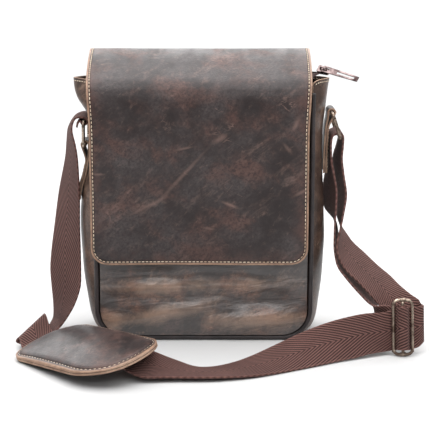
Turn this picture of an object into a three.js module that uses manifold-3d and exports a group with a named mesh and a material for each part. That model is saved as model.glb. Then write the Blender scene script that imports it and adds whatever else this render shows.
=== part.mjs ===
// Crossbody bag of waxed leather, standing with its flap closed and its webbing strap laid in front.
// Millimetres. +Z is up, the flap faces -Y, and the origin is in the middle of the base.
import * as THREE from 'three';
import { mergeVertices } from 'three/addons/utils/BufferGeometryUtils.js';
import Module from 'manifold-3d';

const wasm = await Module();
wasm.setup();

// Driving dimensions
const LEATHER = 2;
const GAP = 0.4;
const BODY = { centre: 1.5, halfWidth: 103, seamY: 36, top: 243, corner: 28 };
const PIPING = { radius: 2.3, lift: 0.2, top: 240, arcSides: 4, steps: 46 };
const GUSSET = { seamY: 32.3, seamTop: 242, roundness: 2.4, columns: 6, rows: 48 };
const HEM = { from: 222, to: 240, roundness: 8 };
const PANEL = { columns: 14, rows: 22, rowPower: 1.5, swell: 3.4, swellZ: 28, swellReach: 42 };
const PANEL_CURL = { z: 16, depth: 2 };
const BACK = { columns: 8, rows: 12, swellShare: 0.5 };
const FLAP = { centre: -2.4, halfWidth: 103.2, flare: 3.4, flareFrom: 200, flareTo: 275, thickness: 2.2 };
const FLAP_GRID = { corner: 16, columns: 10, rows: 36, rowPower: 1.3 };
const ZIP = { left: -101, right: 102, reach: 6, edgeY: 35.2, edgeZ: 241.4, teethY: 3.5, teethZ: 255 };
const TAPE = { thickness: 1.2, columns: 6, rows: 6 };
const CHAIN = { left: -106, right: 107.6, width: 6, height: 2.2 };
const RUNNER = { x: 116.5, z: 257.5, length: 12, width: 8.4, height: 4.4, roll: 48, dip: 14, yaw: -25 };
const BAIL = { span: 8, rise: 4.4, wire: 1.5, depth: 2.6, foot: 0.6 };
const PULL = { length: 36, width: 7.4, tipWidth: 5.6, thickness: 1.2, forward: 0.3, above: 1.25 };
const PULL_EYE = { bar: 1.2, length: 5, width: 4.6 };
const PULL_SLOT = { start: 14, end: 32, width: 2.6 };
const TAB = { width: 24, thickness: 1.8, bow: 1.6, layer: 2.2, free: 4, columns: 2, rows: 26 };
const TAB_FOLD = [165, 120, 75, 30, -15];
const RING = { wire: 1.7, halfWidth: 27.5, drop: 23.5, corner: 5, steps: 28, sides: 8 };
const WEBBING = { width: 40, thickness: 1.7, stepsPerRow: 2, columns: 1 };
const BUCKLE = { wire: 1.5, bars: 8.8, halfHeight: 25.2, corner: 5, lean: 15, steps: 28, sides: 8 };
const BUCKLE_PLACE = { x: 188, y: -82, z: 26.3 };
const PAD = { length: 120.7, width: 82.7, endBulge: 10.2, corner: 9 };
const PAD_TURN = { heading: -49.3, pitch: -5.4, roll: 11 };
const PAD_DOME = { rise: 7, edge: 2.2, squareness: 4, fullness: 0.6, grid: 10 };
const PAD_PLACE = { x: -105.6, y: -119, z: 16.4 };
const PAD_LAYERS = { base: 2, baseGrid: 8, webbingDrop: 4 };
const KEEPER = { drop: 6, thickness: 1.4, length: 34, half: 24.6, foldFrom: 0.86, columns: 16, rows: 2 };

// Where the middle of the gusset stands, from the left ear round the base to the right ear
const BELLY = [
  { x: -122.4, z: 251.5 },
  { x: -121.4, z: 241 },
  { x: -118, z: 232 },
  { x: -110.6, z: 222.4 },
  { x: -105.6, z: 214 },
  { x: -105.2, z: 200 },
  { x: -105.4, z: 188 },
  { x: -106.4, z: 175 },
  { x: -110, z: 161 },
  { x: -113.6, z: 150 },
  { x: -117, z: 130 },
  { x: -117.4, z: 90 },
  { x: -113, z: 45 },
  { x: -107, z: 14 },
  { x: -98, z: 3.4 },
  { x: -84, z: 1 },
  { x: -40, z: 1 },
  { x: 2, z: 1 },
  { x: 44, z: 1 },
  { x: 87, z: 1 },
  { x: 101, z: 3.4 },
  { x: 110, z: 14 },
  { x: 115, z: 45 },
  { x: 118.2, z: 90 },
  { x: 117.6, z: 130 },
  { x: 115.6, z: 165 },
  { x: 115.6, z: 200 },
  { x: 117.8, z: 225 },
  { x: 121.4, z: 249 },
];

// Soft folds of the front panel below the flap: a ridge, or a valley where rise is negative
const FRONT_FOLDS = [
  { x: -50, z: 54, halfLength: 52, halfHeight: 7, lean: 0.02, rise: 2 },
  { x: -36, z: 28, halfLength: 50, halfHeight: 7, lean: 0.17, rise: 2.2 },
  { x: 56, z: 39, halfLength: 40, halfHeight: 7, lean: -0.03, rise: -2.2 },
  { x: 56, z: 22, halfLength: 50, halfHeight: 8, lean: 0.04, rise: 2.4 },
  { x: -88, z: 22, halfLength: 13, halfHeight: 12, lean: 0, rise: 2.2 },
  { x: 40, z: 57, halfLength: 60, halfHeight: 7, lean: -0.02, rise: 1.2 },
];

// Shallow dents of the flap's hanging face
const FLAP_DENTS = [
  { x: -70, z: 190, halfLength: 40, halfHeight: 16, lean: -0.1, rise: 1 },
  { x: 25, z: 150, halfLength: 60, halfHeight: 26, lean: 0.5, rise: -1.2 },
  { x: 80, z: 110, halfLength: 26, halfHeight: 40, lean: 0, rise: 0.9 },
  { x: -40, z: 100, halfLength: 50, halfHeight: 18, lean: 0.2, rise: 0.8 },
];

// Side profile of the flap, from its hanging edge over the top to the seam on the back
const FLAP_PROFILE = [
  { y: -45.4, z: 77.4 },
  { y: -45.8, z: 110 },
  { y: -45.6, z: 165 },
  { y: -45, z: 215 },
  { y: -43.4, z: 236 },
  { y: -38, z: 248.4 },
  { y: -26, z: 256.5 },
  { y: -4, z: 266.6 },
  { y: 14, z: 273 },
  { y: 27, z: 275.4 },
  { y: 36.5, z: 271 },
  { y: 41, z: 260 },
  { y: 41.4, z: 242 },
  { y: 40.8, z: 222 },
];

// Inner layer of each tab from its foot to the ring, and the two bars of the ring
const SIDES = {
  left: {
    tab: [
      { x: -120, z: 134 },
      { x: -118.2, z: 144 },
      { x: -113.4, z: 158 },
      { x: -111.3, z: 166 },
      { x: -109.8, z: 174 },
      { x: -109.2, z: 181 },
    ],
    pivot: { x: -112.4, z: 187.5 },
    bar: { x: -112.2, z: 211.4 },
    out: -1,
  },
  right: {
    tab: [
      { x: 118.8, z: 160 },
      { x: 118.6, z: 175 },
      { x: 118.6, z: 192 },
      { x: 119.1, z: 205 },
      { x: 120.6, z: 214 },
    ],
    pivot: { x: 124, z: 218.6 },
    bar: { x: 131.4, z: 196.3 },
    out: 1,
  },
};

// Materials
const FINISHES = {
  leather: { color: 0x4b3f3a, roughness: 0.55, metalness: 0 },
  piping: { color: 0x3a3335, roughness: 0.6, metalness: 0 },
  webbing: { color: 0x5d423d, roughness: 0.85, metalness: 0 },
  tape: { color: 0x3b2b2b, roughness: 0.85, metalness: 0 },
  brass: { color: 0x8d7a5b, roughness: 0.38, metalness: 1 },
  nickel: { color: 0x8a7f7c, roughness: 0.3, metalness: 1 },
};

const radians = THREE.MathUtils.degToRad;
const point = (x, y, z) => new THREE.Vector3(x, y, z);

function piece(name, geometry, finish) {
  const mesh = new THREE.Mesh(geometry, new THREE.MeshStandardMaterial(FINISHES[finish]));
  mesh.name = name;
  return mesh;
}

// Joins the vertices that faces share
function weld(geometry) {
  const bare = new THREE.BufferGeometry();
  bare.setAttribute('position', geometry.attributes.position);
  if (geometry.index) bare.setIndex(geometry.index);
  return mergeVertices(bare, 1e-4);
}

function facesOutward(geometry) {
  const at = geometry.attributes.position;
  const index = geometry.index;
  const a = point();
  const b = point();
  const c = point();
  let volume = 0;
  for (let i = 0; i < index.count; i += 3) {
    a.fromBufferAttribute(at, index.getX(i));
    b.fromBufferAttribute(at, index.getX(i + 1));
    c.fromBufferAttribute(at, index.getX(i + 2));
    volume += a.dot(b.cross(c));
  }
  return volume > 0;
}

function turnOutward(geometry) {
  if (facesOutward(geometry)) return geometry;
  const index = geometry.index;
  for (let i = 0; i < index.count; i += 3) {
    const first = index.getX(i);
    index.setX(i, index.getX(i + 1));
    index.setX(i + 1, first);
  }
  return geometry;
}

// A wall of even thickness on both sides of surface(u, v), with u and v from 0 to 1
function wall(surface, thickness, columns, rows) {
  const slab = new THREE.BoxGeometry(1, 1, 1, columns, rows, 1);
  const at = slab.attributes.position;
  const step = 2e-3;
  const clamp = (value) => Math.min(1, Math.max(0, value));
  for (let i = 0; i < at.count; i += 1) {
    const u = clamp(at.getX(i) + 0.5);
    const v = clamp(at.getY(i) + 0.5);
    const across = surface(clamp(u + step), v).sub(surface(clamp(u - step), v));
    const along = surface(u, clamp(v + step)).sub(surface(u, clamp(v - step)));
    const normal = across.cross(along).normalize();
    const place = surface(u, v).addScaledVector(normal, at.getZ(i) * thickness);
    at.setXYZ(i, place.x, place.y, place.z);
  }
  return turnOutward(weld(slab));
}

// A closed loop of round wire along path(t), flat in the plane that normal is square to
function wireLoop(path, normal, radius, steps, sides) {
  const loop = new THREE.TorusGeometry(10, 1, sides, steps);
  const at = loop.attributes.position;
  const uv = loop.attributes.uv;
  for (let i = 0; i < at.count; i += 1) {
    const t = uv.getX(i) % 1;
    const turn = (uv.getY(i) % 1) * 2 * Math.PI;
    const along = path((t + 1e-3) % 1).sub(path((t + 1 - 1e-3) % 1)).normalize();
    const side = along.cross(normal).normalize();
    const place = path(t).addScaledVector(side, radius * Math.cos(turn));
    place.addScaledVector(normal, radius * Math.sin(turn));
    at.setXYZ(i, place.x, place.y, place.z);
  }
  return turnOutward(weld(loop));
}

function toSolid(geometry) {
  const welded = weld(geometry);
  return new wasm.Manifold(new wasm.Mesh({
    numProp: 3,
    vertProperties: new Float32Array(welded.attributes.position.array),
    triVerts: new Uint32Array(welded.index.array),
  }));
}

function fromSolid(solid) {
  const mesh = solid.getMesh();
  const geometry = new THREE.BufferGeometry();
  geometry.setAttribute('position', new THREE.BufferAttribute(mesh.vertProperties, 3));
  geometry.setIndex(new THREE.BufferAttribute(mesh.triVerts, 1));
  return geometry;
}

// Half the width of a sheet at a distance from its end, where the end's corners are round
function roundedHalfWidth(distance, halfWidth, corner) {
  if (distance >= corner) return halfWidth;
  return halfWidth - corner + Math.sqrt(corner ** 2 - (corner - distance) ** 2);
}

function reliefAt(rows, x, z) {
  let height = 0;
  for (const row of rows) {
    const along = (x - row.x) / row.halfLength;
    const across = (z - row.z - row.lean * (x - row.x)) / row.halfHeight;
    height += row.rise * Math.exp(-(along ** 2) - across ** 2);
  }
  return height;
}

// Rounded rectangle in the plane of its width and height, as a path with t from 0 to 1
function roundedRectangle(halfWidth, halfHeight, corner) {
  const outline = new THREE.Path();
  const w = halfWidth - corner;
  const h = halfHeight - corner;
  outline.moveTo(halfWidth, -h);
  outline.lineTo(halfWidth, h);
  outline.absarc(w, h, corner, 0, Math.PI / 2, false);
  outline.lineTo(-w, halfHeight);
  outline.absarc(-w, h, corner, Math.PI / 2, Math.PI, false);
  outline.lineTo(-halfWidth, -h);
  outline.absarc(-w, -h, corner, Math.PI, 1.5 * Math.PI, false);
  outline.lineTo(w, -halfHeight);
  outline.absarc(w, -h, corner, 1.5 * Math.PI, 2 * Math.PI, false);
  return outline;
}

// Seam line of the body seen from the front: down the left side, round the base, up the right side
function seamLine(bottom, top) {
  const { centre, halfWidth, corner } = BODY;
  const line = new THREE.Path();
  line.moveTo(centre - halfWidth, top);
  line.lineTo(centre - halfWidth, bottom + corner);
  line.absarc(centre - halfWidth + corner, bottom + corner, corner, Math.PI, 1.5 * Math.PI, false);
  line.lineTo(centre + halfWidth - corner, bottom);
  line.absarc(centre + halfWidth - corner, bottom + corner, corner, 1.5 * Math.PI, 2 * Math.PI, false);
  line.lineTo(centre + halfWidth, top);
  return line;
}

// Body: panels, gusset and piping
function panelHalfWidth(z, bottom) {
  const inset = PIPING.radius + 3 * GAP;
  return roundedHalfWidth(z - bottom, BODY.halfWidth - inset, BODY.corner - inset);
}

const PANEL_BOTTOM = PIPING.lift + 2 * PIPING.radius + 2 * GAP;

function panelPoint(u, v, top, depthAt) {
  const z = PANEL_BOTTOM + (top - PANEL_BOTTOM) * v ** PANEL.rowPower;
  const half = panelHalfWidth(z, PANEL_BOTTOM);
  const x = BODY.centre + (2 * u - 1) * half;
  const edge = 1 - Math.abs((x - BODY.centre) / BODY.halfWidth) ** 4;
  return point(x, depthAt(x, z, edge), z);
}

function swellAt(z, edge) {
  const reach = (z - PANEL.swellZ) / PANEL.swellReach;
  const curl = PANEL_CURL.depth * Math.max(0, 1 - (z - PANEL_BOTTOM) / PANEL_CURL.z) ** 2;
  return edge * (PANEL.swell * Math.exp(-(reach ** 2)) - curl);
}

function frontPanel() {
  const face = BODY.seamY + LEATHER / 2;
  const depthAt = (x, z, edge) => -face - swellAt(z, edge) - edge * reliefAt(FRONT_FOLDS, x, z);
  const surface = (u, v) => panelPoint(u, v, BODY.top, depthAt);
  return piece('front_panel', wall(surface, LEATHER, PANEL.columns, PANEL.rows), 'leather');
}

function backPanel() {
  const face = BODY.seamY + LEATHER / 2;
  const depthAt = (x, z, edge) => face + BACK.swellShare * swellAt(z, edge);
  const surface = (u, v) => panelPoint(u, v, BODY.top, depthAt);
  return piece('back_panel', wall(surface, LEATHER, BACK.columns, BACK.rows), 'leather');
}

function gusset() {
  const seam = seamLine(LEATHER / 2, GUSSET.seamTop);
  const belly = new THREE.SplineCurve(BELLY.map((row) => new THREE.Vector2(row.x, row.z)));
  belly.arcLengthDivisions = 600;
  const surface = (u, v) => {
    const across = Math.abs(2 * u - 1);
    const sewn = seam.getPointAt(v);
    const middle = belly.getPointAt(v);
    const bulge = 1 - across ** GUSSET.roundness;
    const nearHem = THREE.MathUtils.smoothstep(sewn.y, HEM.from, HEM.to);
    const level = THREE.MathUtils.lerp(bulge, 1 - across ** HEM.roundness, nearHem);
    const x = THREE.MathUtils.lerp(sewn.x, middle.x, bulge);
    const z = THREE.MathUtils.lerp(sewn.y, middle.y, level);
    return point(x, GUSSET.seamY * (2 * u - 1), Math.max(z, LEATHER / 2));
  };
  return piece('gusset', wall(surface, LEATHER, GUSSET.columns, GUSSET.rows), 'leather');
}

function piping(name, side) {
  const seam = seamLine(PIPING.lift + PIPING.radius, PIPING.top);
  const path = new THREE.Curve();
  path.getPoint = (t) => {
    const at = seam.getPointAt(t);
    return point(at.x, side * BODY.seamY, at.y);
  };
  const section = new THREE.Shape();
  section.absarc(0, 0, PIPING.radius, 0, 2 * Math.PI, false);
  const { steps, arcSides } = PIPING;
  const options = { steps, curveSegments: arcSides, extrudePath: path, bevelEnabled: false };
  return piece(name, turnOutward(weld(new THREE.ExtrudeGeometry(section, options))), 'piping');
}

// Flap
function flap() {
  const side = new THREE.SplineCurve(FLAP_PROFILE.map((row) => new THREE.Vector2(row.y, row.z)));
  side.arcLengthDivisions = 600;
  const length = side.getLength();
  const surface = (u, v) => {
    const along = v ** FLAP_GRID.rowPower;
    const at = side.getPointAt(along);
    const flare = FLAP.flare * THREE.MathUtils.smoothstep(at.y, FLAP.flareFrom, FLAP.flareTo);
    const half = roundedHalfWidth(along * length, FLAP.halfWidth + flare, FLAP_GRID.corner);
    const x = FLAP.centre + (2 * u - 1) * half;
    const dent = at.x < 0 ? reliefAt(FLAP_DENTS, x, at.y) : 0;
    return point(x, at.x - dent, at.y);
  };
  return piece('flap', wall(surface, FLAP.thickness, FLAP_GRID.columns, FLAP_GRID.rows), 'leather');
}

// Zip
function zipTape(name, side) {
  const surface = (u, v) => {
    const y = ZIP.edgeY + (ZIP.teethY - ZIP.edgeY) * v;
    const z = ZIP.edgeZ + (ZIP.teethZ - ZIP.edgeZ) * Math.sin(v * Math.PI / 2);
    const left = ZIP.left - 0.5 * ZIP.reach * v;
    const right = ZIP.right + ZIP.reach * v ** 2;
    return point(left + (right - left) * u, side * y, z);
  };
  return piece(name, wall(surface, TAPE.thickness, TAPE.columns, TAPE.rows), 'tape');
}

function zipChain() {
  const strip = new THREE.BoxGeometry(CHAIN.right - CHAIN.left, CHAIN.width, CHAIN.height);
  strip.translate((CHAIN.right + CHAIN.left) / 2, 0, ZIP.teethZ + CHAIN.height / 4);
  return piece('zip_chain', weld(strip), 'nickel');
}

// The runner leans to the front and dips outwards at the end of the zip, and its pull lies on it
const runnerTurn = new THREE.Euler(radians(RUNNER.roll), radians(RUNNER.dip), radians(RUNNER.yaw), 'ZYX');

function onRunner(mesh, offset) {
  mesh.rotation.copy(runnerTurn);
  mesh.position.copy(offset.applyEuler(runnerTurn).add(point(RUNNER.x, 0, RUNNER.z)));
  return mesh;
}

function zipSlider() {
  const { length, width, height } = RUNNER;
  const outline = new THREE.Shape();
  outline.moveTo(-length / 2, -width / 2);
  outline.quadraticCurveTo(length / 4, -width / 2, length / 2, -width / 4);
  outline.lineTo(length / 2, width / 4);
  outline.quadraticCurveTo(length / 4, width / 2, -length / 2, width / 2);
  const body = new THREE.ExtrudeGeometry(outline, { depth: height, bevelEnabled: false, curveSegments: 5 });
  body.translate(0, 0, -height / 2);
  const bridge = new THREE.Shape();
  const outer = BAIL.span / 2;
  const inner = outer - BAIL.wire;
  bridge.moveTo(-outer, -BAIL.foot);
  bridge.absellipse(0, 0, outer, BAIL.rise, Math.PI, 0, true);
  bridge.lineTo(outer, -BAIL.foot);
  bridge.lineTo(inner, -BAIL.foot);
  bridge.absellipse(0, 0, inner, BAIL.rise - BAIL.wire, 0, Math.PI, false);
  bridge.lineTo(-inner, -BAIL.foot);
  const across = { depth: BAIL.depth, bevelEnabled: false, curveSegments: 8 };
  const arch = new THREE.ExtrudeGeometry(bridge, across);
  arch.rotateX(Math.PI / 2);
  arch.translate(0, BAIL.depth / 2, height / 2);
  const solid = toSolid(body).add(toSolid(arch));
  return onRunner(piece('zip_slider', fromSolid(solid), 'nickel'), point(0, 0, 0));
}

function zipPull() {
  const { length, width, tipWidth, thickness } = PULL;
  const { height } = RUNNER;
  const outline = new THREE.Shape();
  outline.moveTo(-PULL_EYE.bar / 2, -width / 2);
  outline.lineTo(length - tipWidth, -width / 2);
  outline.quadraticCurveTo(length, -tipWidth / 2, length, 0);
  outline.quadraticCurveTo(length, tipWidth / 2, length - tipWidth, width / 2);
  outline.lineTo(-PULL_EYE.bar / 2, width / 2);
  const cut = (start, end, across) => {
    const hole = new THREE.Path();
    hole.moveTo(start, -across / 2);
    hole.lineTo(end, -across / 2);
    hole.lineTo(end, across / 2);
    hole.lineTo(start, across / 2);
    hole.closePath();
    return hole;
  };
  outline.holes.push(cut(PULL_EYE.bar / 2, PULL_EYE.bar / 2 + PULL_EYE.length, PULL_EYE.width));
  outline.holes.push(cut(PULL_SLOT.start, PULL_SLOT.end, PULL_SLOT.width));
  const through = { depth: thickness, bevelEnabled: false, curveSegments: 6 };
  const plate = new THREE.ExtrudeGeometry(outline, through);
  plate.translate(0, 0, -thickness / 2);
  const pivot = point(PULL.forward, 0, height / 2 + PULL.above);
  return onRunner(piece('zip_pull', turnOutward(weld(plate)), 'nickel'), pivot);
}

// Tabs and rings
function tab(name, side) {
  const turn = TAB.thickness / 2 + 2 * GAP + RING.wire;
  const { pivot, out } = side;
  const inner = side.tab.map((row) => new THREE.Vector2(row.x, row.z));
  const over = TAB_FOLD.map((angle) => {
    const a = radians(angle);
    return new THREE.Vector2(pivot.x + out * turn * Math.cos(a), pivot.z + turn * Math.sin(a));
  });
  const shift = new THREE.Vector2(out * TAB.layer, 0);
  const outer = inner.slice(0, -1).reverse().map((row) => row.clone().add(shift));
  const profile = new THREE.SplineCurve([...inner, ...over, ...outer]);
  profile.arcLengthDivisions = 400;
  const surface = (u, v) => {
    const at = profile.getPointAt(v);
    const y = (u - 0.5) * TAB.width;
    const foot = side.tab[0].z;
    const onGusset = 1 - THREE.MathUtils.smoothstep(at.y, foot, pivot.z - TAB.free);
    const bow = TAB.bow * onGusset * (y / (TAB.width / 2)) ** 2;
    return point(at.x - out * bow, y, at.y);
  };
  return piece(name, wall(surface, TAB.thickness, TAB.columns, TAB.rows), 'leather');
}

function ring(name, side) {
  const { pivot, bar } = side;
  const down = point(bar.x - pivot.x, 0, bar.z - pivot.z).normalize();
  const middle = point((pivot.x + bar.x) / 2, 0, (pivot.z + bar.z) / 2);
  const outline = roundedRectangle(RING.halfWidth, RING.drop / 2, RING.corner);
  const path = (t) => {
    const at = outline.getPointAt(t);
    return middle.clone().addScaledVector(down, at.y).add(point(0, at.x, 0));
  };
  const normal = down.clone().cross(point(0, 1, 0)).normalize();
  return piece(name, wireLoop(path, normal, RING.wire, RING.steps, RING.sides), 'brass');
}

// Slide buckle: across is along the strap, back is away from the front of the bag
const buckleUp = point(0, Math.sin(radians(BUCKLE.lean)), Math.cos(radians(BUCKLE.lean)));
const buckleBack = point(0, Math.cos(radians(BUCKLE.lean)), -Math.sin(radians(BUCKLE.lean)));

function atBuckle(across, back, up) {
  const middle = point(BUCKLE_PLACE.x + across, BUCKLE_PLACE.y, BUCKLE_PLACE.z);
  return middle.addScaledVector(buckleBack, back).addScaledVector(buckleUp, up);
}

function strapBuckle() {
  const outline = roundedRectangle(BUCKLE.bars, BUCKLE.halfHeight, BUCKLE.corner);
  const path = (t) => {
    const at = outline.getPointAt(t);
    return atBuckle(at.x, 0, at.y);
  };
  const frame = wireLoop(path, buckleBack, BUCKLE.wire, BUCKLE.steps, BUCKLE.sides);
  const { wire, halfHeight, sides } = BUCKLE;
  const bar = new THREE.CylinderGeometry(wire, wire, 2 * halfHeight, sides);
  bar.rotateX(Math.PI / 2 - radians(BUCKLE.lean));
  bar.translate(BUCKLE_PLACE.x, BUCKLE_PLACE.y, BUCKLE_PLACE.z);
  return piece('strap_buckle', fromSolid(toSolid(frame).add(toSolid(bar))), 'brass');
}

// Shoulder pad: along and across are measured on the pad, above is square to it
const padTurn = new THREE.Matrix4()
  .makeRotationZ(radians(PAD_TURN.heading))
  .multiply(new THREE.Matrix4().makeRotationY(radians(PAD_TURN.pitch)))
  .multiply(new THREE.Matrix4().makeRotationX(radians(PAD_TURN.roll)));

function atPad(along, across, above) {
  const middle = point(PAD_PLACE.x, PAD_PLACE.y, PAD_PLACE.z);
  return point(along, across, above).applyMatrix4(padTurn).add(middle);
}

function padOutline(u, v) {
  const t = 2 * u - 1;
  const end = PAD.length / 2 + PAD.endBulge * (1 - t ** 2);
  const along = (2 * v - 1) * end;
  const half = roundedHalfWidth(end - Math.abs(along), PAD.width / 2, PAD.corner);
  return { along, across: t * half, t, s: 2 * v - 1 };
}

function shoulderPad() {
  const { rise, edge, squareness, fullness, grid } = PAD_DOME;
  const slab = new THREE.BoxGeometry(1, 1, 1, grid, grid, 1);
  const at = slab.attributes.position;
  for (let i = 0; i < at.count; i += 1) {
    const { along, across, t, s } = padOutline(at.getX(i) + 0.5, at.getY(i) + 0.5);
    const dome = rise * ((1 - t ** squareness) * (1 - s ** squareness)) ** fullness;
    const place = atPad(along, across, at.getZ(i) > 0 ? edge + dome : GAP / 2);
    at.setXYZ(i, place.x, place.y, place.z);
  }
  return piece('shoulder_pad', turnOutward(weld(slab)), 'leather');
}

function padBase() {
  const middle = -GAP / 2 - PAD_LAYERS.base / 2;
  const surface = (u, v) => {
    const { along, across } = padOutline(u, v);
    return atPad(along, across, middle);
  };
  const { base, baseGrid } = PAD_LAYERS;
  return piece('pad_base', wall(surface, base, baseGrid, baseGrid), 'leather');
}

// Height of the pad's plane above the floor at a place on the plan
function padPlane(x, y) {
  const normal = point(0, 0, 1).applyMatrix4(padTurn);
  return PAD_PLACE.z - ((x - PAD_PLACE.x) * normal.x + (y - PAD_PLACE.y) * normal.y) / normal.z;
}

const underPad = (x, y, drop) => point(x, y, padPlane(x, y) - drop);

// Webbing under the pad: it crosses the pad's far half on its own heading
const RUN = { x: -106, y: -103, heading: -36 };
const runAlong = point(Math.cos(radians(RUN.heading)), Math.sin(radians(RUN.heading)), 0);
const runAcross = point(-runAlong.y, runAlong.x, 0);

function onRun(along, across, drop) {
  const at = point(RUN.x, RUN.y, 0).addScaledVector(runAlong, along).addScaledVector(runAcross, across);
  return underPad(at.x, at.y, drop);
}

function padKeeper() {
  const { drop, thickness, length, half, foldFrom, columns, rows } = KEEPER;
  const fold = drop - PAD_LAYERS.base - 2 * GAP - thickness / 2;
  const surface = (u, v) => {
    const t = 2 * u - 1;
    const rise = fold * THREE.MathUtils.smoothstep(Math.abs(t), foldFrom, 1);
    return onRun((v - 0.5) * length, t * half, drop - rise);
  };
  return piece('pad_keeper', wall(surface, thickness, columns, rows), 'leather');
}

// Strap: rows of the webbing's two edges, near to the front and far from it
const HALF = WEBBING.width / 2;
const flat = (x, z) => ({ near: point(x, -HALF, z), far: point(x, HALF, z) });
const edges = (near, far) => ({ near: point(...near), far: point(...far) });
const buckleRow = (across, back, low = -HALF, high = HALF) => ({
  near: atBuckle(across, back, low),
  far: atBuckle(across, back, high),
});
const turned = (row) => ({ near: row.far, far: row.near });
const runRow = (along) => ({
  near: onRun(along, -HALF, PAD_LAYERS.webbingDrop),
  far: onRun(along, HALF, PAD_LAYERS.webbingDrop),
});

function wrapRows(bar, radius, angles) {
  return angles.map((angle) => {
    const a = radians(angle);
    return flat(bar.x + radius * Math.cos(a), bar.z + radius * Math.sin(a));
  });
}

const RING_WRAP = RING.wire + 2 * GAP + WEBBING.thickness / 2;
const BAR_WRAP = BUCKLE.wire + 1.5 * GAP + WEBBING.thickness / 2;

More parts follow.
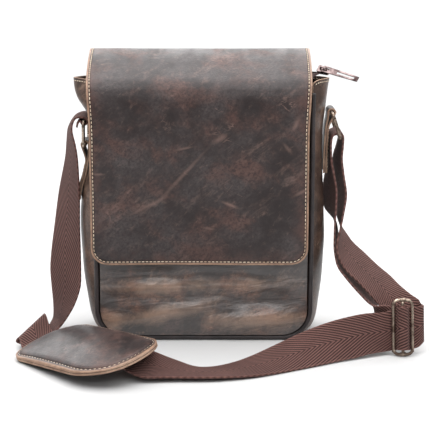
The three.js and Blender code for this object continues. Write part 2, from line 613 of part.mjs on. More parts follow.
const STRAP_ROWS = [
  // Sewn end inside the arch, then round the left ring and over the arch
  edges([-119.2, -20, 205.4], [-122.6, 20, 204.6]),
  edges([-118.4, -20, 208.8], [-119.8, 20, 208.6]),
  flat(-116.2, 211.6),
  ...wrapRows(SIDES.left.bar, RING_WRAP, [-120, -70, -20, 30, 80]),
  flat(-116.6, 215.2),
  edges([-120.6, -20, 214], [-123, 20, 212.6]),
  edges([-123.6, -20, 208], [-128, 20, 206.5]),
  edges([-124, -20, 201], [-131.4, 20, 199]),
  // Hanging down the left side, turning its outer face to the front
  edges([-121.4, -20, 189], [-133, 20, 186]),
  edges([-119.6, -20, 177], [-134.4, 20, 172]),
  edges([-119.6, -18, 143], [-141.4, 18, 137]),
  edges([-120.6, -18, 112], [-146, 15, 105]),
  edges([-120, -21, 83], [-149.6, 9, 76]),
  edges([-119.4, -25, 67], [-150.4, 5, 61]),
  edges([-119.4, -30, 52], [-149, 0, 46]),
  edges([-123.4, -34, 35.8], [-147.6, -2, 31]),
  edges([-129.4, -36, 25], [-147.4, -1, 19.5]),
  edges([-138, -33, 12.6], [-149, 4, 10]),
  edges([-152, -42.6, 2.2], [-151.6, -4, 6.6]),
  // Folded over on the floor
  edges([-170, -59.5, 3], [-153.4, -16, 12.4]),
  edges([-176.6, -62.5, 6.2], [-156.6, -18, 17.6]),
  edges([-174.4, -63.6, 9.6], [-154.4, -20, 21.2]),
  edges([-168, -77, 3.2], [-145.4, -41, 10.4]),
  // Under the shoulder pad
  runRow(-46),
  runRow(-20),
  runRow(8),
  runRow(36),
  // Along the floor to the buckle, rising on its lower edge
  edges([-52.6, -165.9, 6], [-40.9, -129.2, 16.6]),
  edges([-31.5, -164.7, 5.2], [-21.1, -126, 7.4]),
  edges([-11.3, -164, 4.8], [-5.8, -124.5, 1.6]),
  edges([9.8, -163.2, 4.5], [8.8, -124.6, 1.2]),
  edges([34.5, -157.7, 3.4], [28.8, -118.2, 3.2]),
  edges([54.2, -149.8, 2.2], [45.4, -111, 7]),
  edges([84.6, -132.6, 1.3], [73.5, -97.1, 16]),
  edges([106.3, -119.7, 1.3], [96.2, -88.5, 24.2]),
  edges([127.5, -106.9, 1.4], [118.1, -81.2, 30.5]),
  edges([142, -99.9, 2], [135.2, -77.1, 34.2]),
  edges([156, -93, 3.4], [151.8, -73.1, 36.6]),
  buckleRow(-15, 2.2, -22.5, 14.5),
  buckleRow(-8.8, 3.3, -21.5, 17),
  buckleRow(-5.3, 0.4, -21.3, 19),
  buckleRow(-3.2, -4.2, -21.3, 19),
  buckleRow(0, -5.6, -21.3, 19),
  buckleRow(3.2, -4.2, -21.3, 19),
  buckleRow(5.3, 0.4, -21.3, 19),
  buckleRow(8.8, 3.3, -20.5, 19.5),
  buckleRow(15, 3.2, -18.5, 19.5),
  // Folded back behind the buckle and up to the right ring
  buckleRow(19, 4.6, -14.5, 19.8),
  buckleRow(20, 7, -13, 20.5),
  buckleRow(18.4, 9.2, -13.5, 22),
  edges([186.9, -73, 13], [204.8, -66, 48.2]),
  edges([179, -67.5, 28], [198.6, -56, 50.8]),
  edges([170.4, -60, 41], [190, -42, 55.6]),
  edges([160.6, -52, 51], [181.6, -27, 61.8]),
  edges([150, -46, 60.6], [170.4, -14, 69.2]),
  edges([138.2, -39, 71], [158.2, -5.5, 79.8]),
  edges([131.8, -32.4, 80.4], [148.1, 4, 87.8]),
  edges([129.8, -28, 91.5], [141.2, 11, 96.6]),
  edges([133.4, -23, 107.2], [137.7, 16.5, 101.4]),
  edges([136.5, -20.5, 122.7], [133.2, 19.5, 115.5]),
  edges([138.7, -20, 140.1], [131.9, 20, 135.2]),
  edges([135.7, -20, 160.6], [129.8, 20, 155.3]),
  edges([133.9, -20, 176.1], [129, 20, 170.9]),
  edges([134.6, -20, 186], [132.4, 20, 184]),
  ...wrapRows(SIDES.right.bar, RING_WRAP, [10, 50, 90]),
  // Over the ring and down its inner side to the buckle's middle bar
  flat(127.4, 198.8),
  flat(124.7, 197.2),
  flat(123.5, 192.4),
  edges([123.3, -20, 184], [123.2, 20, 180]),
  edges([124.2, -20, 172], [123.6, 20, 165]),
  edges([127, -20.5, 158], [120.6, 19, 149.5]),
  edges([129.2, -21, 144], [119.6, 18.2, 137]),
  edges([129, -22, 128], [121.3, 17, 121]),
  edges([128, -23, 112.4], [125, 16.4, 104]),
  edges([127.6, -24.6, 97], [128, 14.8, 87.6]),
  edges([127.8, -26, 87], [129.4, 13.4, 78]),
  edges([130.8, -34, 72.6], [131.6, 4, 66]),
  edges([138.6, -42, 62.6], [137, -5, 55]),
  edges([150.8, -50, 49.6], [151, -14, 37]),
  edges([160, -58, 42], [161, -26, 22]),
  edges([165.6, -67, 42.6], [167, -44, 11]),
  edges([171.5, -69, 44], [173, -62, 8]),
  turned(buckleRow(-8.8, 6.8)),
  turned(buckleRow(-3.6, 4.4)),
  ...[80, 35, -10, -55, -100, -145, 175].map((angle) => {
    const a = radians(angle);
    return turned(buckleRow(BAR_WRAP * Math.cos(a), BAR_WRAP * Math.sin(a)));
  }),
  turned(buckleRow(-4.2, 2)),
];

function strap() {
  const near = new THREE.CatmullRomCurve3(STRAP_ROWS.map((row) => row.near), false, 'centripetal');
  const far = new THREE.CatmullRomCurve3(STRAP_ROWS.map((row) => row.far), false, 'centripetal');
  const surface = (u, v) => near.getPoint(v).lerp(far.getPoint(v), u);
  const rows = WEBBING.stepsPerRow * (STRAP_ROWS.length - 1);
  return piece('strap', wall(surface, WEBBING.thickness, WEBBING.columns, rows), 'webbing');
}

const bag = new THREE.Group();
bag.add(frontPanel(), backPanel(), gusset());
bag.add(piping('front_piping', -1), piping('back_piping', 1), flap());
bag.add(zipTape('zip_tape_front', -1), zipTape('zip_tape_back', 1), zipChain(), zipSlider(), zipPull());
for (const side of ['left', 'right']) {
  bag.add(tab(`tab_${side}`, SIDES[side]), ring(`ring_${side}`, SIDES[side]));
}
bag.add(strap(), strapBuckle(), shoulderPad(), padBase(), padKeeper());

export default bag;
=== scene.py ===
import bisect
import math
from types import SimpleNamespace as Sizes

import bmesh
import bpy
from mathutils import Euler, Matrix, Vector, noise


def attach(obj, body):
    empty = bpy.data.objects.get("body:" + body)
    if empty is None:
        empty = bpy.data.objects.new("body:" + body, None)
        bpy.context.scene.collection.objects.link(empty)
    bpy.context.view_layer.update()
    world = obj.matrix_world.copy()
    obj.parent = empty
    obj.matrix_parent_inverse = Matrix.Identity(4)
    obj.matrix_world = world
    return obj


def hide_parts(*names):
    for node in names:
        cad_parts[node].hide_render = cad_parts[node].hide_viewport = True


# Crossbody bag of waxed leather with a webbing strap. The tables are in millimetres, the scene in metres.
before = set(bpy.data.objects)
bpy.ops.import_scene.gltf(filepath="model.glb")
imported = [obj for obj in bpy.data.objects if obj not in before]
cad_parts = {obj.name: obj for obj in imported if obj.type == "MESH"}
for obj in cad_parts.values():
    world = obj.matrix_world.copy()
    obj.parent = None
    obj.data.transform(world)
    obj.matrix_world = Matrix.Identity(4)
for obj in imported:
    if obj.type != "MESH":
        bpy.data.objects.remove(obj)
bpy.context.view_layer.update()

MM = 0.001
BAG = "bag"
PULL = "pull"


def new_object(name, data):
    thing = bpy.data.objects.new(name, data)
    bpy.context.scene.collection.objects.link(thing)
    return thing


# Camera, in metres and degrees
CAMERA = Sizes(aim=Vector((0.0124, -0.037, 0.124)), distance=1.3, elevation=12, lens=114.3, near=0.05, far=60)


def add_camera():
    lift = math.radians(CAMERA.elevation)
    lens = bpy.data.cameras.new("camera")
    lens.lens = CAMERA.lens
    lens.clip_start = CAMERA.near
    lens.clip_end = CAMERA.far
    camera = new_object("camera", lens)
    camera.location = CAMERA.aim + Vector((0, -math.cos(lift), math.sin(lift))) * CAMERA.distance
    camera.rotation_euler = (math.pi / 2 - lift, 0, 0)
    bpy.context.scene.camera = camera


add_camera()

# Driving dimensions. Most are the part's own. The hem's pinch, the fill of the front, the ends of the zip
# and the outline and dome of the pad are fitted here.
LEATHER = 2
GAP = 0.4
BODY = Sizes(centre=1.5, half=103, seam_y=36, top=243, corner=28)
PIPING = Sizes(radius=2.3, lift=0.2, top=240)
GUSSET = Sizes(seam_y=32.3, seam_top=242, roundness=2.4, uneven_y=30, flat_z=20)
HEM = Sizes(low=222, high=240, roundness=8, pinch=8, rise=5, sharpen=1)
PANEL = Sizes(
    swell=3.4, swell_z=28, swell_reach=42, curl_z=16, curl=2, back_share=0.5, row_ease=1.25, seam_power=4,
    fill=3.2, fill_from=62, fill_to=92, fill_end=60,
)
FLAP = Sizes(
    centre=-2.4, half=103.2, flare=3.4, flare_from=200, flare_to=275, thickness=2.2, corner=16, inset=3,
    hang_from=245, hang_to=215, wave=0.7, wave_reach=23, wave_from=110, wave_to=78, top_ripple=0.4,
)
ZIP = Sizes(
    left=-101, right=102, reach=10, edge_y=35.2, edge_z=241.4, teeth_y=3.5, teeth_z=255, thickness=1.2,
)
CHAIN = Sizes(
    left=-106, right=110.4, pitch=2.4, height=2.2, z=255.55, tooth=0.9, width=4.6, stagger=0.55, soft=0.22,
)
RUNNER = Sizes(x=116.5, z=257.5, length=12, width=8.4, height=4.4, roll=48, dip=14, yaw=-25, soft=0.35)
RUNNER_LEAF = Sizes(thickness=1.4, nose=0.55, corner=1.6)
RUNNER_POST = Sizes(length=0.7, width=0.4, nose=0.8, corner=1)
BAIL = Sizes(span=8, rise=4.4, wire=1.5, depth=2.6, sink=0.3)
PULL_BAR = Sizes(length=36, width=7.4, tip=5.6, thickness=1.2, forward=0.3, above=1.25, back=0.6)
PULL_EYE = Sizes(start=0.6, end=5.6, width=4.6)
PULL_SLOT = Sizes(start=14, end=32, width=2.6)
PULL_BETWEEN = [9.8, 20, 26]
TAB = Sizes(
    width=24, thickness=1.8, bow=1.6, layer=2.2, free=4, turn=3.4, inset=2.6, stitch_top=0.56,
)
TAB_FOLD = [165, 120, 75, 30, -15]
RING = Sizes(wire=1.7, half_width=27.5, drop=23.5, corner=5)
WEBBING = Sizes(width=40, thickness=1.7, ring_gap=0.8, bar_gap=0.6, under_pad=4)
BUCKLE = Sizes(wire=1.5, bars=8.8, half_height=25.2, corner=5, lean=15, collar=5, collar_wall=0.55)
BUCKLE_PLACE = Vector((188, -82, 26.3))
PAD = Sizes(length=120.7, width=82.7, bulge=13, corner=11, round=28, inset=4, base=2)
PAD_TILT = Sizes(heading=-49.3, pitch=-5.4, roll=11)
PAD_DOME = Sizes(rise=7.6, edge=1.2, power=0.7, puff=1.1, puff_from=-0.5, puff_to=4.5)
PAD_PLACE = Vector((-105.6, -119, 16.4))
KEEPER = Sizes(drop=6, thickness=1.4, length=34, half=24.6, fold_from=0.86, lift=2.5)
RUN = Sizes(x=-106, y=-103, heading=-36)

# Stitches: the thread's size, the pitch of each line, and the pad's longer ones
STITCH = Sizes(length=3, width=0.9, height=0.72, flap=3.7, hem=3.6, tab=3.5, hem_inset=2.8, hem_margin=0.04)
PAD_STITCH = Sizes(length=3.5, width=1.05, pitch=4.4, lift=0.25)

# Unevenness of each sheet (reach, size, and where it is read in the noise)
UNEVEN = {
    "front": (30, 0.9, 0), "back": (55, 0.8, 60), "gusset": (32, 0.8, 0), "flap": (42, 0.9, 20),
    "flap_fine": (17, 0.25, 40), "pad": (34, 0.8, 0),
}
FRONT_SQUASH = 2.2

# Where the middle of the gusset stands (x, z), from the left ear round the base to the right ear
BELLY = [
    (-122.4, 251.5), (-121.4, 241), (-118, 232), (-110.6, 222.4), (-105.6, 214), (-105.2, 200), (-105.4, 188),
    (-106.4, 175), (-110, 161), (-113.6, 150), (-117, 130), (-117.4, 90), (-113, 45), (-107, 14), (-98, 3.4),
    (-84, 1), (-40, 1), (2, 1), (44, 1), (87, 1), (101, 3.4), (110, 14), (115, 45), (118.2, 90),
    (117.6, 130), (115.6, 165), (115.6, 200), (117.8, 225), (121.4, 251),
]

# Soft folds (x, z, half length, half height, lean, rise), where a negative rise is a valley
FRONT_FOLDS = [
    (-50, 54, 52, 7, 0.02, 2), (-36, 28, 50, 7, 0.17, 2.2), (56, 39, 40, 7, -0.03, -2.2),
    (56, 22, 50, 8, 0.04, 2.4), (-88, 22, 13, 12, 0, 2.2), (40, 57, 60, 7, -0.02, 1.2),
]
FOLD_DEPTH = 1.7
FLAP_DENTS = [
    (-70, 190, 40, 16, -0.1, 1), (25, 150, 60, 26, 0.5, -1.2), (80, 110, 26, 40, 0, 0.9),
    (-40, 100, 50, 18, 0.2, 0.8),
]

# Pale pulled creases in the flap, in the same form, with a rise that only sets their tone
FLAP_CREASES = [
    (-54, 133, 18, 2.4, 0.5, 1.7), (-17, 165, 26, 3.2, 1.08, 1.6), (26.5, 135.6, 8, 1.6, -0.4, 2.6),
    (7, 113, 7, 1.2, -0.15, 2), (-16, 189.6, 9, 1.4, 0.2, 2), (18, 199, 6, 3, 0.5, 1.8),
    (-98, 165, 7, 1.2, 0, 2.2), (88, 212, 4, 5, 1.2, 2), (94, 148, 7, 2, 0.5, 2.4), (80, 190, 5, 3, -1, 1.8),
]

# Painted shadow on the front along the flap's hanging edge, as a band of deeper tone
SHADE = Sizes(z=75, reach=4.5, tone=-3)

# Side profile of the flap (y, z), from its hanging edge over the top to the seam on the back
FLAP_PROFILE = [
    (-45.4, 77.4), (-45.8, 110), (-45.6, 165), (-45, 215), (-43.4, 236), (-38, 248.4), (-26, 256.5),
    (-4, 266.6), (14, 273), (27, 275.4), (36.5, 271), (41, 260), (41.4, 242), (40.8, 222),
]

# Inner layer of each tab from its foot to the ring (x, z), and the two bars of the ring
SIDES = {
    "left": Sizes(
        tab=[(-120, 134), (-118.2, 144), (-113.4, 158), (-111.3, 166), (-109.8, 174), (-109.2, 181)],
        pivot=(-112.4, 187.5),
        bar=(-112.2, 211.4),
        out=-1,
    ),
    "right": Sizes(
        tab=[(118.8, 160), (118.6, 175), (118.6, 192), (119.1, 205), (120.6, 214)],
        pivot=(124, 218.6),
        bar=(131.4, 196.3),
        out=1,
    ),
}

# Light in metres and watts: name, place, aim, size, power
SOFTBOXES = [
    ("top_box", (0, -0.2, 1.6), (0, 0, 0.1), (3, 2.2), 63),
    ("back_box", (0, 1.3, 1.6), (0, 0, 0.2), (2.6, 1.6), 8),
    ("front_strip", (0.3, -1.9, 1.2), (0, 0, 0.08), (1.6, 0.3), 6),
    ("sweep_box", (0, 6.2, 3), (0, 6.2, 0), (12, 8), 760),
]
SKY_STRENGTH = 0.24
FLOOR_TONE = 0.62
FLOOR_SIZE = 12


def at(x, y, z):
    """A place in the scene from millimetres."""
    return Vector((x, y, z)) * MM


def turned_by(*degrees):
    return Euler([math.radians(a) for a in degrees]).to_matrix()


def smoothstep(value, low, high):
    share = min(1, max(0, (value - low) / (high - low)))
    return share * share * (3 - 2 * share)


def gauss(value):
    return math.exp(-value * value)


def wander(sheet, x, z, y=0):
    """The soft unevenness of a sheet."""
    reach, size, level = UNEVEN[sheet]
    return size * noise.noise(Vector((x, y + level, z)) / reach)


def walk(places):
    """The lengths walked along a line of places."""
    lengths = [0.0]
    for before, after in zip(places, places[1:]):
        lengths.append(lengths[-1] + (after - before).length)
    return lengths


def find_span(lengths, goal):
    """The span of a walk that holds a length, and the share of that span."""
    span = min(len(lengths) - 2, max(0, bisect.bisect_right(lengths, goal) - 1))
    return span, (goal - lengths[span]) / max(1e-9, lengths[span + 1] - lengths[span])


class Route:
    """A smooth line through points, read by row or by its share of length."""

    def __init__(self, points, knot_power=0.0, steps=16):
        points = [Vector(p) for p in points]
        self.ringed = [points[0] * 2 - points[1], *points, points[-1] * 2 - points[-2]]
        self.knot_power = knot_power
        self.rows = len(points) - 1
        self.steps = steps
        self.lengths = walk([self.at_row(i / steps) for i in range(self.rows * steps + 1)])
        self.length = self.lengths[-1]

    def at_row(self, row):
        span = min(self.rows - 1, int(row))
        share = row - span
        p0, p1, p2, p3 = self.ringed[span:span + 4]
        pairs = ((p0, p1), (p1, p2), (p2, p3))
        d0, d1, d2 = [max(1e-4, (b - a).length) ** self.knot_power for a, b in pairs]
        leave = ((p1 - p0) / d0 - (p2 - p0) / (d0 + d1) + (p2 - p1) / d1) * d1
        arrive = ((p2 - p1) / d1 - (p3 - p1) / (d1 + d2) + (p3 - p2) / d2) * d1
        bend = (p1 - p2) * 2 + leave + arrive
        sweep = (p2 - p1) * 3 - leave * 2 - arrive
        return p1 + leave * share + sweep * share ** 2 + bend * share ** 3

    def at(self, share):
        span, inside = find_span(self.lengths, min(1, max(0, share)) * self.length)
        return self.at_row((span + inside) / self.steps)


def rounded_half_width(distance, half, corner):
    """Half the width of a sheet at a distance from its end, where the end's corners are round."""
    if distance >= corner:
        return half
    return half - corner + math.sqrt(max(0, corner ** 2 - (corner - distance) ** 2))


def from_edge(end, side, corner):
    """Distance from a cut edge with round corners, by the distances from its end and its side."""
    if end < corner and side < corner:
        return corner - math.hypot(corner - end, corner - side)
    return min(end, side)


def relief(rows, x, z):
    height = 0
    for fold_x, fold_z, half_length, half_height, lean, rise in rows:
        along = (x - fold_x) / half_length
        across = (z - fold_z - lean * (x - fold_x)) / half_height
        height += rise * gauss(along) * gauss(across)
    return height


def rounded_loop(half_width, half_height, corner):
    """The outline of a rounded rectangle as a route, once round."""
    outline = []
    turns = 8
    for quarter, (sx, sy) in enumerate(((1, 1), (-1, 1), (-1, -1), (1, -1))):
        for i in range(turns + 1):
            a = math.radians(90 * (quarter + i / turns))
            x = sx * (half_width - corner) + corner * math.cos(a)
            y = sy * (half_height - corner) + corner * math.sin(a)
            outline.append((x, y))
    return Route(outline + outline[:1], steps=4)


def make_piece(bm, name, finishes, body=BAG, dresses=True, smooth=True):
    """A piece of the scene, which takes the place of the solid with its name unless it only adds to one."""
    mesh = bpy.data.meshes.new(name)
    for face in bm.faces:
        face.smooth = smooth
    bm.to_mesh(mesh)
    bm.free()
    for finish in finishes:
        mesh.materials.append(finish)
    piece = new_object(name, mesh)
    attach(piece, body)
    if dresses:
        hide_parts(name)
    return piece


def bent_grid(surface, columns, rows, flip=False, size=(1, 1), edge=None, ridge_and_painted_shade=None):
    """A grid bent onto surface(u, v) in millimetres. Its UV map holds real lengths, edge the distance
    to the sheet's own edge, and the fold-tone layer the height of its folds, plus any painted shade."""
    bm = bmesh.new()
    bmesh.ops.create_grid(bm, x_segments=columns, y_segments=rows, size=0.5)
    lengths = bm.loops.layers.uv.new("lengths")
    distance = bm.verts.layers.float.new("edge")
    fold_and_shade_layer = bm.verts.layers.float.new("ridge_and_painted_shade")
    for face in bm.faces:
        for loop in face.loops:
            u = loop.vert.co.x + 0.5
            v = loop.vert.co.y + 0.5
            loop[lengths].uv = (size[0] * u * MM, size[1] * v * MM)
    for vert in bm.verts:
        u = vert.co.x + 0.5
        v = vert.co.y + 0.5
        vert[distance] = edge(u, v) * MM if edge else 1
        vert[fold_and_shade_layer] = ridge_and_painted_shade(u, v) if ridge_and_painted_shade else 0
        vert.co = surface(u, v) * MM
    if flip:
        bmesh.ops.reverse_faces(bm, faces=bm.faces)
    return bm


def thicken(piece, thickness, rounding=0.35):
    """Gives a sheet its wall: the second material is its inner side, the third its cut edge."""
    wall = piece.modifiers.new("wall", "SOLIDIFY")
    wall.thickness = thickness * MM
    wall.offset = 0
    wall.material_offset = 1
    wall.material_offset_rim = 2
    if rounding:
        soft = piece.modifiers.new("soft_edge", "BEVEL")
        soft.width = rounding * MM
        soft.segments = 2
        soft.profile = 0.5
        soft.limit_method = "ANGLE"
        soft.angle_limit = math.radians(55)


def open_rims(bm):
    return [edge for edge in bm.edges if edge.is_boundary]


def bent_tube(path, radius, steps, sides=14, closed=False):
    """Round wire or cord along path(t), which gives a place and the direction across it."""
    bm = bmesh.new()
    bmesh.ops.create_grid(bm, x_segments=sides, y_segments=steps, size=0.5)
    small = 1e-4
    for vert in bm.verts:
        turn = 2 * math.pi * (vert.co.x + 0.5)
        t = vert.co.y + 0.5
        place, across = path(t)
        behind = path(max(0, t - small))[0]
        ahead = path(min(1, t + small))[0]
        along = (ahead - behind).normalized()
        side = along.cross(across).normalized()
        up = side.cross(along)
        vert.co = (place + side * (radius * math.cos(turn)) + up * (radius * math.sin(turn))) * MM
    bmesh.ops.remove_doubles(bm, verts=bm.verts, dist=1e-6)
    if not closed:
        rims = open_rims(bm)
        bmesh.ops.holes_fill(bm, edges=rims, sides=sides + 1)
    bmesh.ops.recalc_face_normals(bm, faces=bm.faces)
    return bm


def round_edges(bm, edges, offset, segments):
    bmesh.ops.bevel(
        bm, geom=edges, offset=offset, affect="EDGES", segments=segments, profile=0.5, material=-1,
    )


def add_stitch(bm, place, along, out, shape):
    """One thread stitch, a small ball drawn long."""
    side = out.cross(along).normalized()
    out = along.cross(side).normalized()
    turn = Matrix((along, side, out)).transposed().to_4x4()
    where = Matrix.Translation(place * MM)
    bmesh.ops.create_uvsphere(bm, u_segments=7, v_segments=5, radius=1, matrix=where @ turn @ shape)


def sew(name, surface, lines, pitch, lift, sides=(1,), thread=STITCH):
    """A piece of stitches, spread evenly on lines of (u, v) shares on a surface."""
    bm = bmesh.new()
    small = 4e-3
    half = Vector((thread.length, thread.width, STITCH.height)) / 2 * MM
    shape = Matrix.Diagonal((*half, 1))
    for line, out_side in [(line, side) for line in lines for side in sides]:
        samples = [surface(u, v) for u, v in line]
        walked = walk(samples)
        count = max(2, int(walked[-1] / pitch))
        for i in range(count):
            span, share = find_span(walked, (i + 0.5) * walked[-1] / count)
            u, v = Vector(line[span]).lerp(Vector(line[span + 1]), share)
            along = (samples[span + 1] - samples[span]).normalized()
            across = surface(min(1, u + small), v) - surface(max(0, u - small), v)
            upward = surface(u, min(1, v + small)) - surface(u, max(0, v - small))
            out = across.cross(upward).normalized() * out_side
            add_stitch(bm, surface(u, v) + out * lift, along, out, shape)
    make_piece(bm, name, [THREAD], dresses=False)


class Tree:
    """Short calls for adding linked nodes to a material's or a group's tree."""

    def __init__(self, tree):
        self.tree = tree

    def fill(self, sockets, values):
        for name, value in values.items():
            if isinstance(value, bpy.types.NodeSocket):
                self.tree.links.new(value, sockets[name])
            else:
                sockets[name].default_value = value

    def add(self, kind, inputs=None, **settings):
        node = self.tree.nodes.new(kind)
        for name, value in settings.items():
            setattr(node, name, value)
        self.fill(node.inputs, inputs or {})
        return node

    def math(self, operation, first, second=0.5, third=0.5, clamp=False):
        inputs = {0: first, 1: second, 2: third}
        return self.add("ShaderNodeMath", inputs, operation=operation, use_clamp=clamp).outputs[0]

    def plus(self, first, second):
        return self.math("ADD", first, second)

    def minus(self, first, second):
        return self.math("SUBTRACT", first, second)

    def times(self, first, second, clamp=False):
        return self.math("MULTIPLY", first, second, clamp=clamp)

    def scaled(self, value, size, start):
        return self.math("MULTIPLY_ADD", value, size, start)

    def noise(self, place, scale, detail=4.0, roughness=0.55, distortion=0.0):
        inputs = {"Scale": scale, "Detail": detail, "Roughness": roughness, "Distortion": distortion}
        return self.add("ShaderNodeTexNoise", {"Vector": place, **inputs}).outputs["Fac"]

    def turned(self, place, scale, angles=(0, 0, 0)):
        """Turns a place first and stretches it after, so that marks run along the turned axes."""
        inputs = {"Scale": [1 / s for s in scale], "Rotation": [math.radians(a) for a in angles]}
        return self.add("ShaderNodeMapping", {"Vector": place, **inputs}, vector_type="TEXTURE").outputs[0]

    def ramp(self, value, low, high, start=0.0, end=1.0):
        inputs = {"Value": value, "From Min": low, "From Max": high, "To Min": start, "To Max": end}
        return self.add("ShaderNodeMapRange", inputs, interpolation_type="SMOOTHSTEP").outputs["Result"]

    def mix(self, share, first, second):
        return self.add("ShaderNodeMix", {0: share, 6: first, 7: second}, data_type="RGBA").outputs[2]

    def bump(self, height, depth, strength=1.0, **onto):
        """A relief of so many millimetres, onto the Normal of another if one is given."""
        inputs = {"Height": height, "Distance": depth * MM, "Strength": strength, **onto}
        return self.add("ShaderNodeBump", inputs).outputs["Normal"]


class Group(Tree):
    """A node group under way, with what it is given."""

    KINDS = {"value": "NodeSocketFloat", "colour": "NodeSocketColor", "vector": "NodeSocketVector"}

    def __init__(self, name, takes, gives):
        super().__init__(bpy.data.node_groups.new(name, "ShaderNodeTree"))
        for way, sockets in (("INPUT", takes), ("OUTPUT", gives)):
            for socket, kind in sockets.items():
                self.tree.interface.new_socket(socket, in_out=way, socket_type=self.KINDS[kind])
        self.given = self.tree.nodes.new("NodeGroupInput").outputs
        self.out = self.tree.nodes.new("NodeGroupOutput").inputs

    def done(self, values):
        self.fill(self.out, values)
        return self.tree


class Finish(Tree):
    """A material under way."""

    def __init__(self, name):
        self.material = bpy.data.materials.new(name)
        self.material.use_nodes = True
        super().__init__(self.material.node_tree)

    def place(self):
        return self.add("ShaderNodeTexCoord").outputs["Object"]

    def attribute(self, name):
        return self.add("ShaderNodeAttribute", attribute_name=name).outputs["Fac"]

    def done(self, values):
        self.fill(self.tree.nodes["Principled BSDF"].inputs, values)
        return self.material


def colour(red, green, blue):
    """A colour from screen values of 0 to 255."""
    def line(value):
        share = value / 255
        return share / 12.92 if share <= 0.04045 else ((share + 0.055) / 1.055) ** 2.4
    return (line(red), line(green), line(blue), 1)


TONES = ("Deep", "Brown", "Rust", "Tan")


def pull_up_group():
    """Waxed leather that pales where it has been pulled and rubbed."""
    takes = {"Place": "vector", **{tone: "colour" for tone in TONES}, "Wear": "value"}
    tree = Group("pull_up", takes, {"Colour": "colour", "Roughness": "value", "Height": "value"})
    place, deep, brown, rust, tan, wear = [tree.given[name] for name in takes]
    cloud = tree.ramp(tree.noise(place, 21, 7, 0.62, 0.2), 0.36, 0.66)
    tone = tree.mix(cloud, deep, brown)
    warm = tree.noise(tree.turned(place, (1, 1, 1.3), (10, 25, 40)), 26, 5, 0.6, 0.25)
    warm = tree.times(tree.ramp(warm, 0.46, 0.7), 0.85)
    tone = tree.mix(warm, tone, rust)
    smear = tree.noise(tree.turned(place, (1.8, 1, 0.6), (0, 52, 0)), 34, 7, 0.66, 0.5)
    tone = tree.mix(tree.times(tree.ramp(smear, 0.54, 0.8), wear), tone, tan)
    fibre = tree.noise(tree.turned(place, (1.5, 1, 0.8), (0, 50, 0)), 130, 7, 0.7, 0.5)
    tone = tree.mix(tree.ramp(fibre, 0.52, 0.76, 0, 0.3), tone, tan)
    tone = tree.mix(tree.ramp(fibre, 0.5, 0.32, 0, 0.7), tone, deep)
    scratches = 0
    for angle, stretch, level in ((48, 20, 0.5), (-58, 26, 0.46), (84, 16, 0.53)):
        long = tree.noise(tree.turned(place, (stretch, 30, 4), (0, angle, 0)), 2.2, 3, 0.6, 0.3)
        thin = tree.ramp(tree.math("ABSOLUTE", tree.minus(long, level)), 0, 0.01, 1, 0)
        scratches = tree.math("MAXIMUM", thin, scratches)
    broken = tree.ramp(tree.noise(place, 34, 4), 0.58, 0.72)
    scratch = tree.times(tree.times(scratches, broken), wear)
    tone = tree.mix(tree.times(scratch, 1.3, clamp=True), tone, tan)
    speck = tree.ramp(tree.noise(place, 420, 4, 0.7), 0.42, 0.66)
    tone = tree.mix(tree.times(speck, 0.6), tone, deep)
    cells = tree.add("ShaderNodeTexVoronoi", {"Vector": place, "Scale": 620, "Randomness": 1.0}, feature="F1")
    pores = tree.ramp(cells.outputs["Distance"], 0.1, 0.75)
    crease = tree.noise(place, 170, 5, 0.6, 0.8)
    height = tree.minus(tree.plus(tree.times(pores, 0.45), crease), tree.times(scratch, 0.5))
    shine = tree.ramp(tree.noise(tree.turned(place, (2.2, 1, 0.6)), 30, 5, 0.6), 0.3, 0.72, 0.3, 0.5)
    shine = tree.plus(shine, tree.times(warm, 0.1))
    return tree.done({"Colour": tone, "Roughness": shine, "Height": height})


def stitch_line_group():
    """The furrow of a stitch line, the bare tan rim outside it and the warm, rubbed leather inside it."""
    takes = {"Edge": "value", "Inset": "value", "Place": "vector"}
    tree = Group("stitch_line", takes, {"Furrow": "value", "Rub": "value", "Warm": "value"})
    edge, inset, place = [tree.given[name] for name in takes]
    away = tree.math("DIVIDE", tree.minus(edge, inset), 0.9 * MM)
    furrow = tree.math("EXPONENT", tree.times(tree.times(away, away), -1))
    uneven = tree.ramp(tree.noise(place, 120, 5, 0.65), 0.34, 0.66)
    rim = tree.ramp(tree.math("DIVIDE", edge, inset), 0.4, 0.8, 1, 0)
    rub = tree.times(rim, tree.scaled(uneven, 0.45, 0.55))
    patches = tree.ramp(tree.noise(place, 34, 5, 0.65), 0.4, 0.66)
    warm = tree.times(tree.ramp(edge, 3 * MM, 20 * MM, 1, 0), patches)
    return tree.done({"Furrow": furrow, "Rub": rub, "Warm": warm})


def herringbone_group():
    """Slanted ribs that meet in a V along the middle of a tape. Lengths are metres across and along."""
    takes = {"Lengths": "vector", "Width": "value", "Pitch": "value"}
    tree = Group("herringbone", takes, {"Rib": "value", "Yarn": "value", "Selvage": "value"})
    lengths, width, pitch = [tree.given[name] for name in takes]
    across, along = tree.add("ShaderNodeSeparateXYZ", {0: lengths}).outputs[:2]
    middle = tree.times(width, 0.5)
    away = tree.math("ABSOLUTE", tree.minus(across, middle))
    slant = tree.times(away, 2.1)

    def wave(length, turns):
        angle = tree.times(tree.math("DIVIDE", length, pitch), turns * 2 * math.pi)
        return tree.scaled(tree.math("SINE", angle), 0.5, 0.5)

    selvage = tree.ramp(tree.minus(middle, away), 0.8 * MM, 2 * MM, 1, 0)
    rib = wave(tree.plus(along, slant), 1)
    yarn = wave(tree.minus(along, slant), 2)
    return tree.done({"Rib": rib, "Yarn": yarn, "Selvage": selvage})


RIM_TAN = colour(166, 134, 112)
PULL_UP = pull_up_group()
STITCH_LINE = stitch_line_group()
HERRINGBONE = herringbone_group()


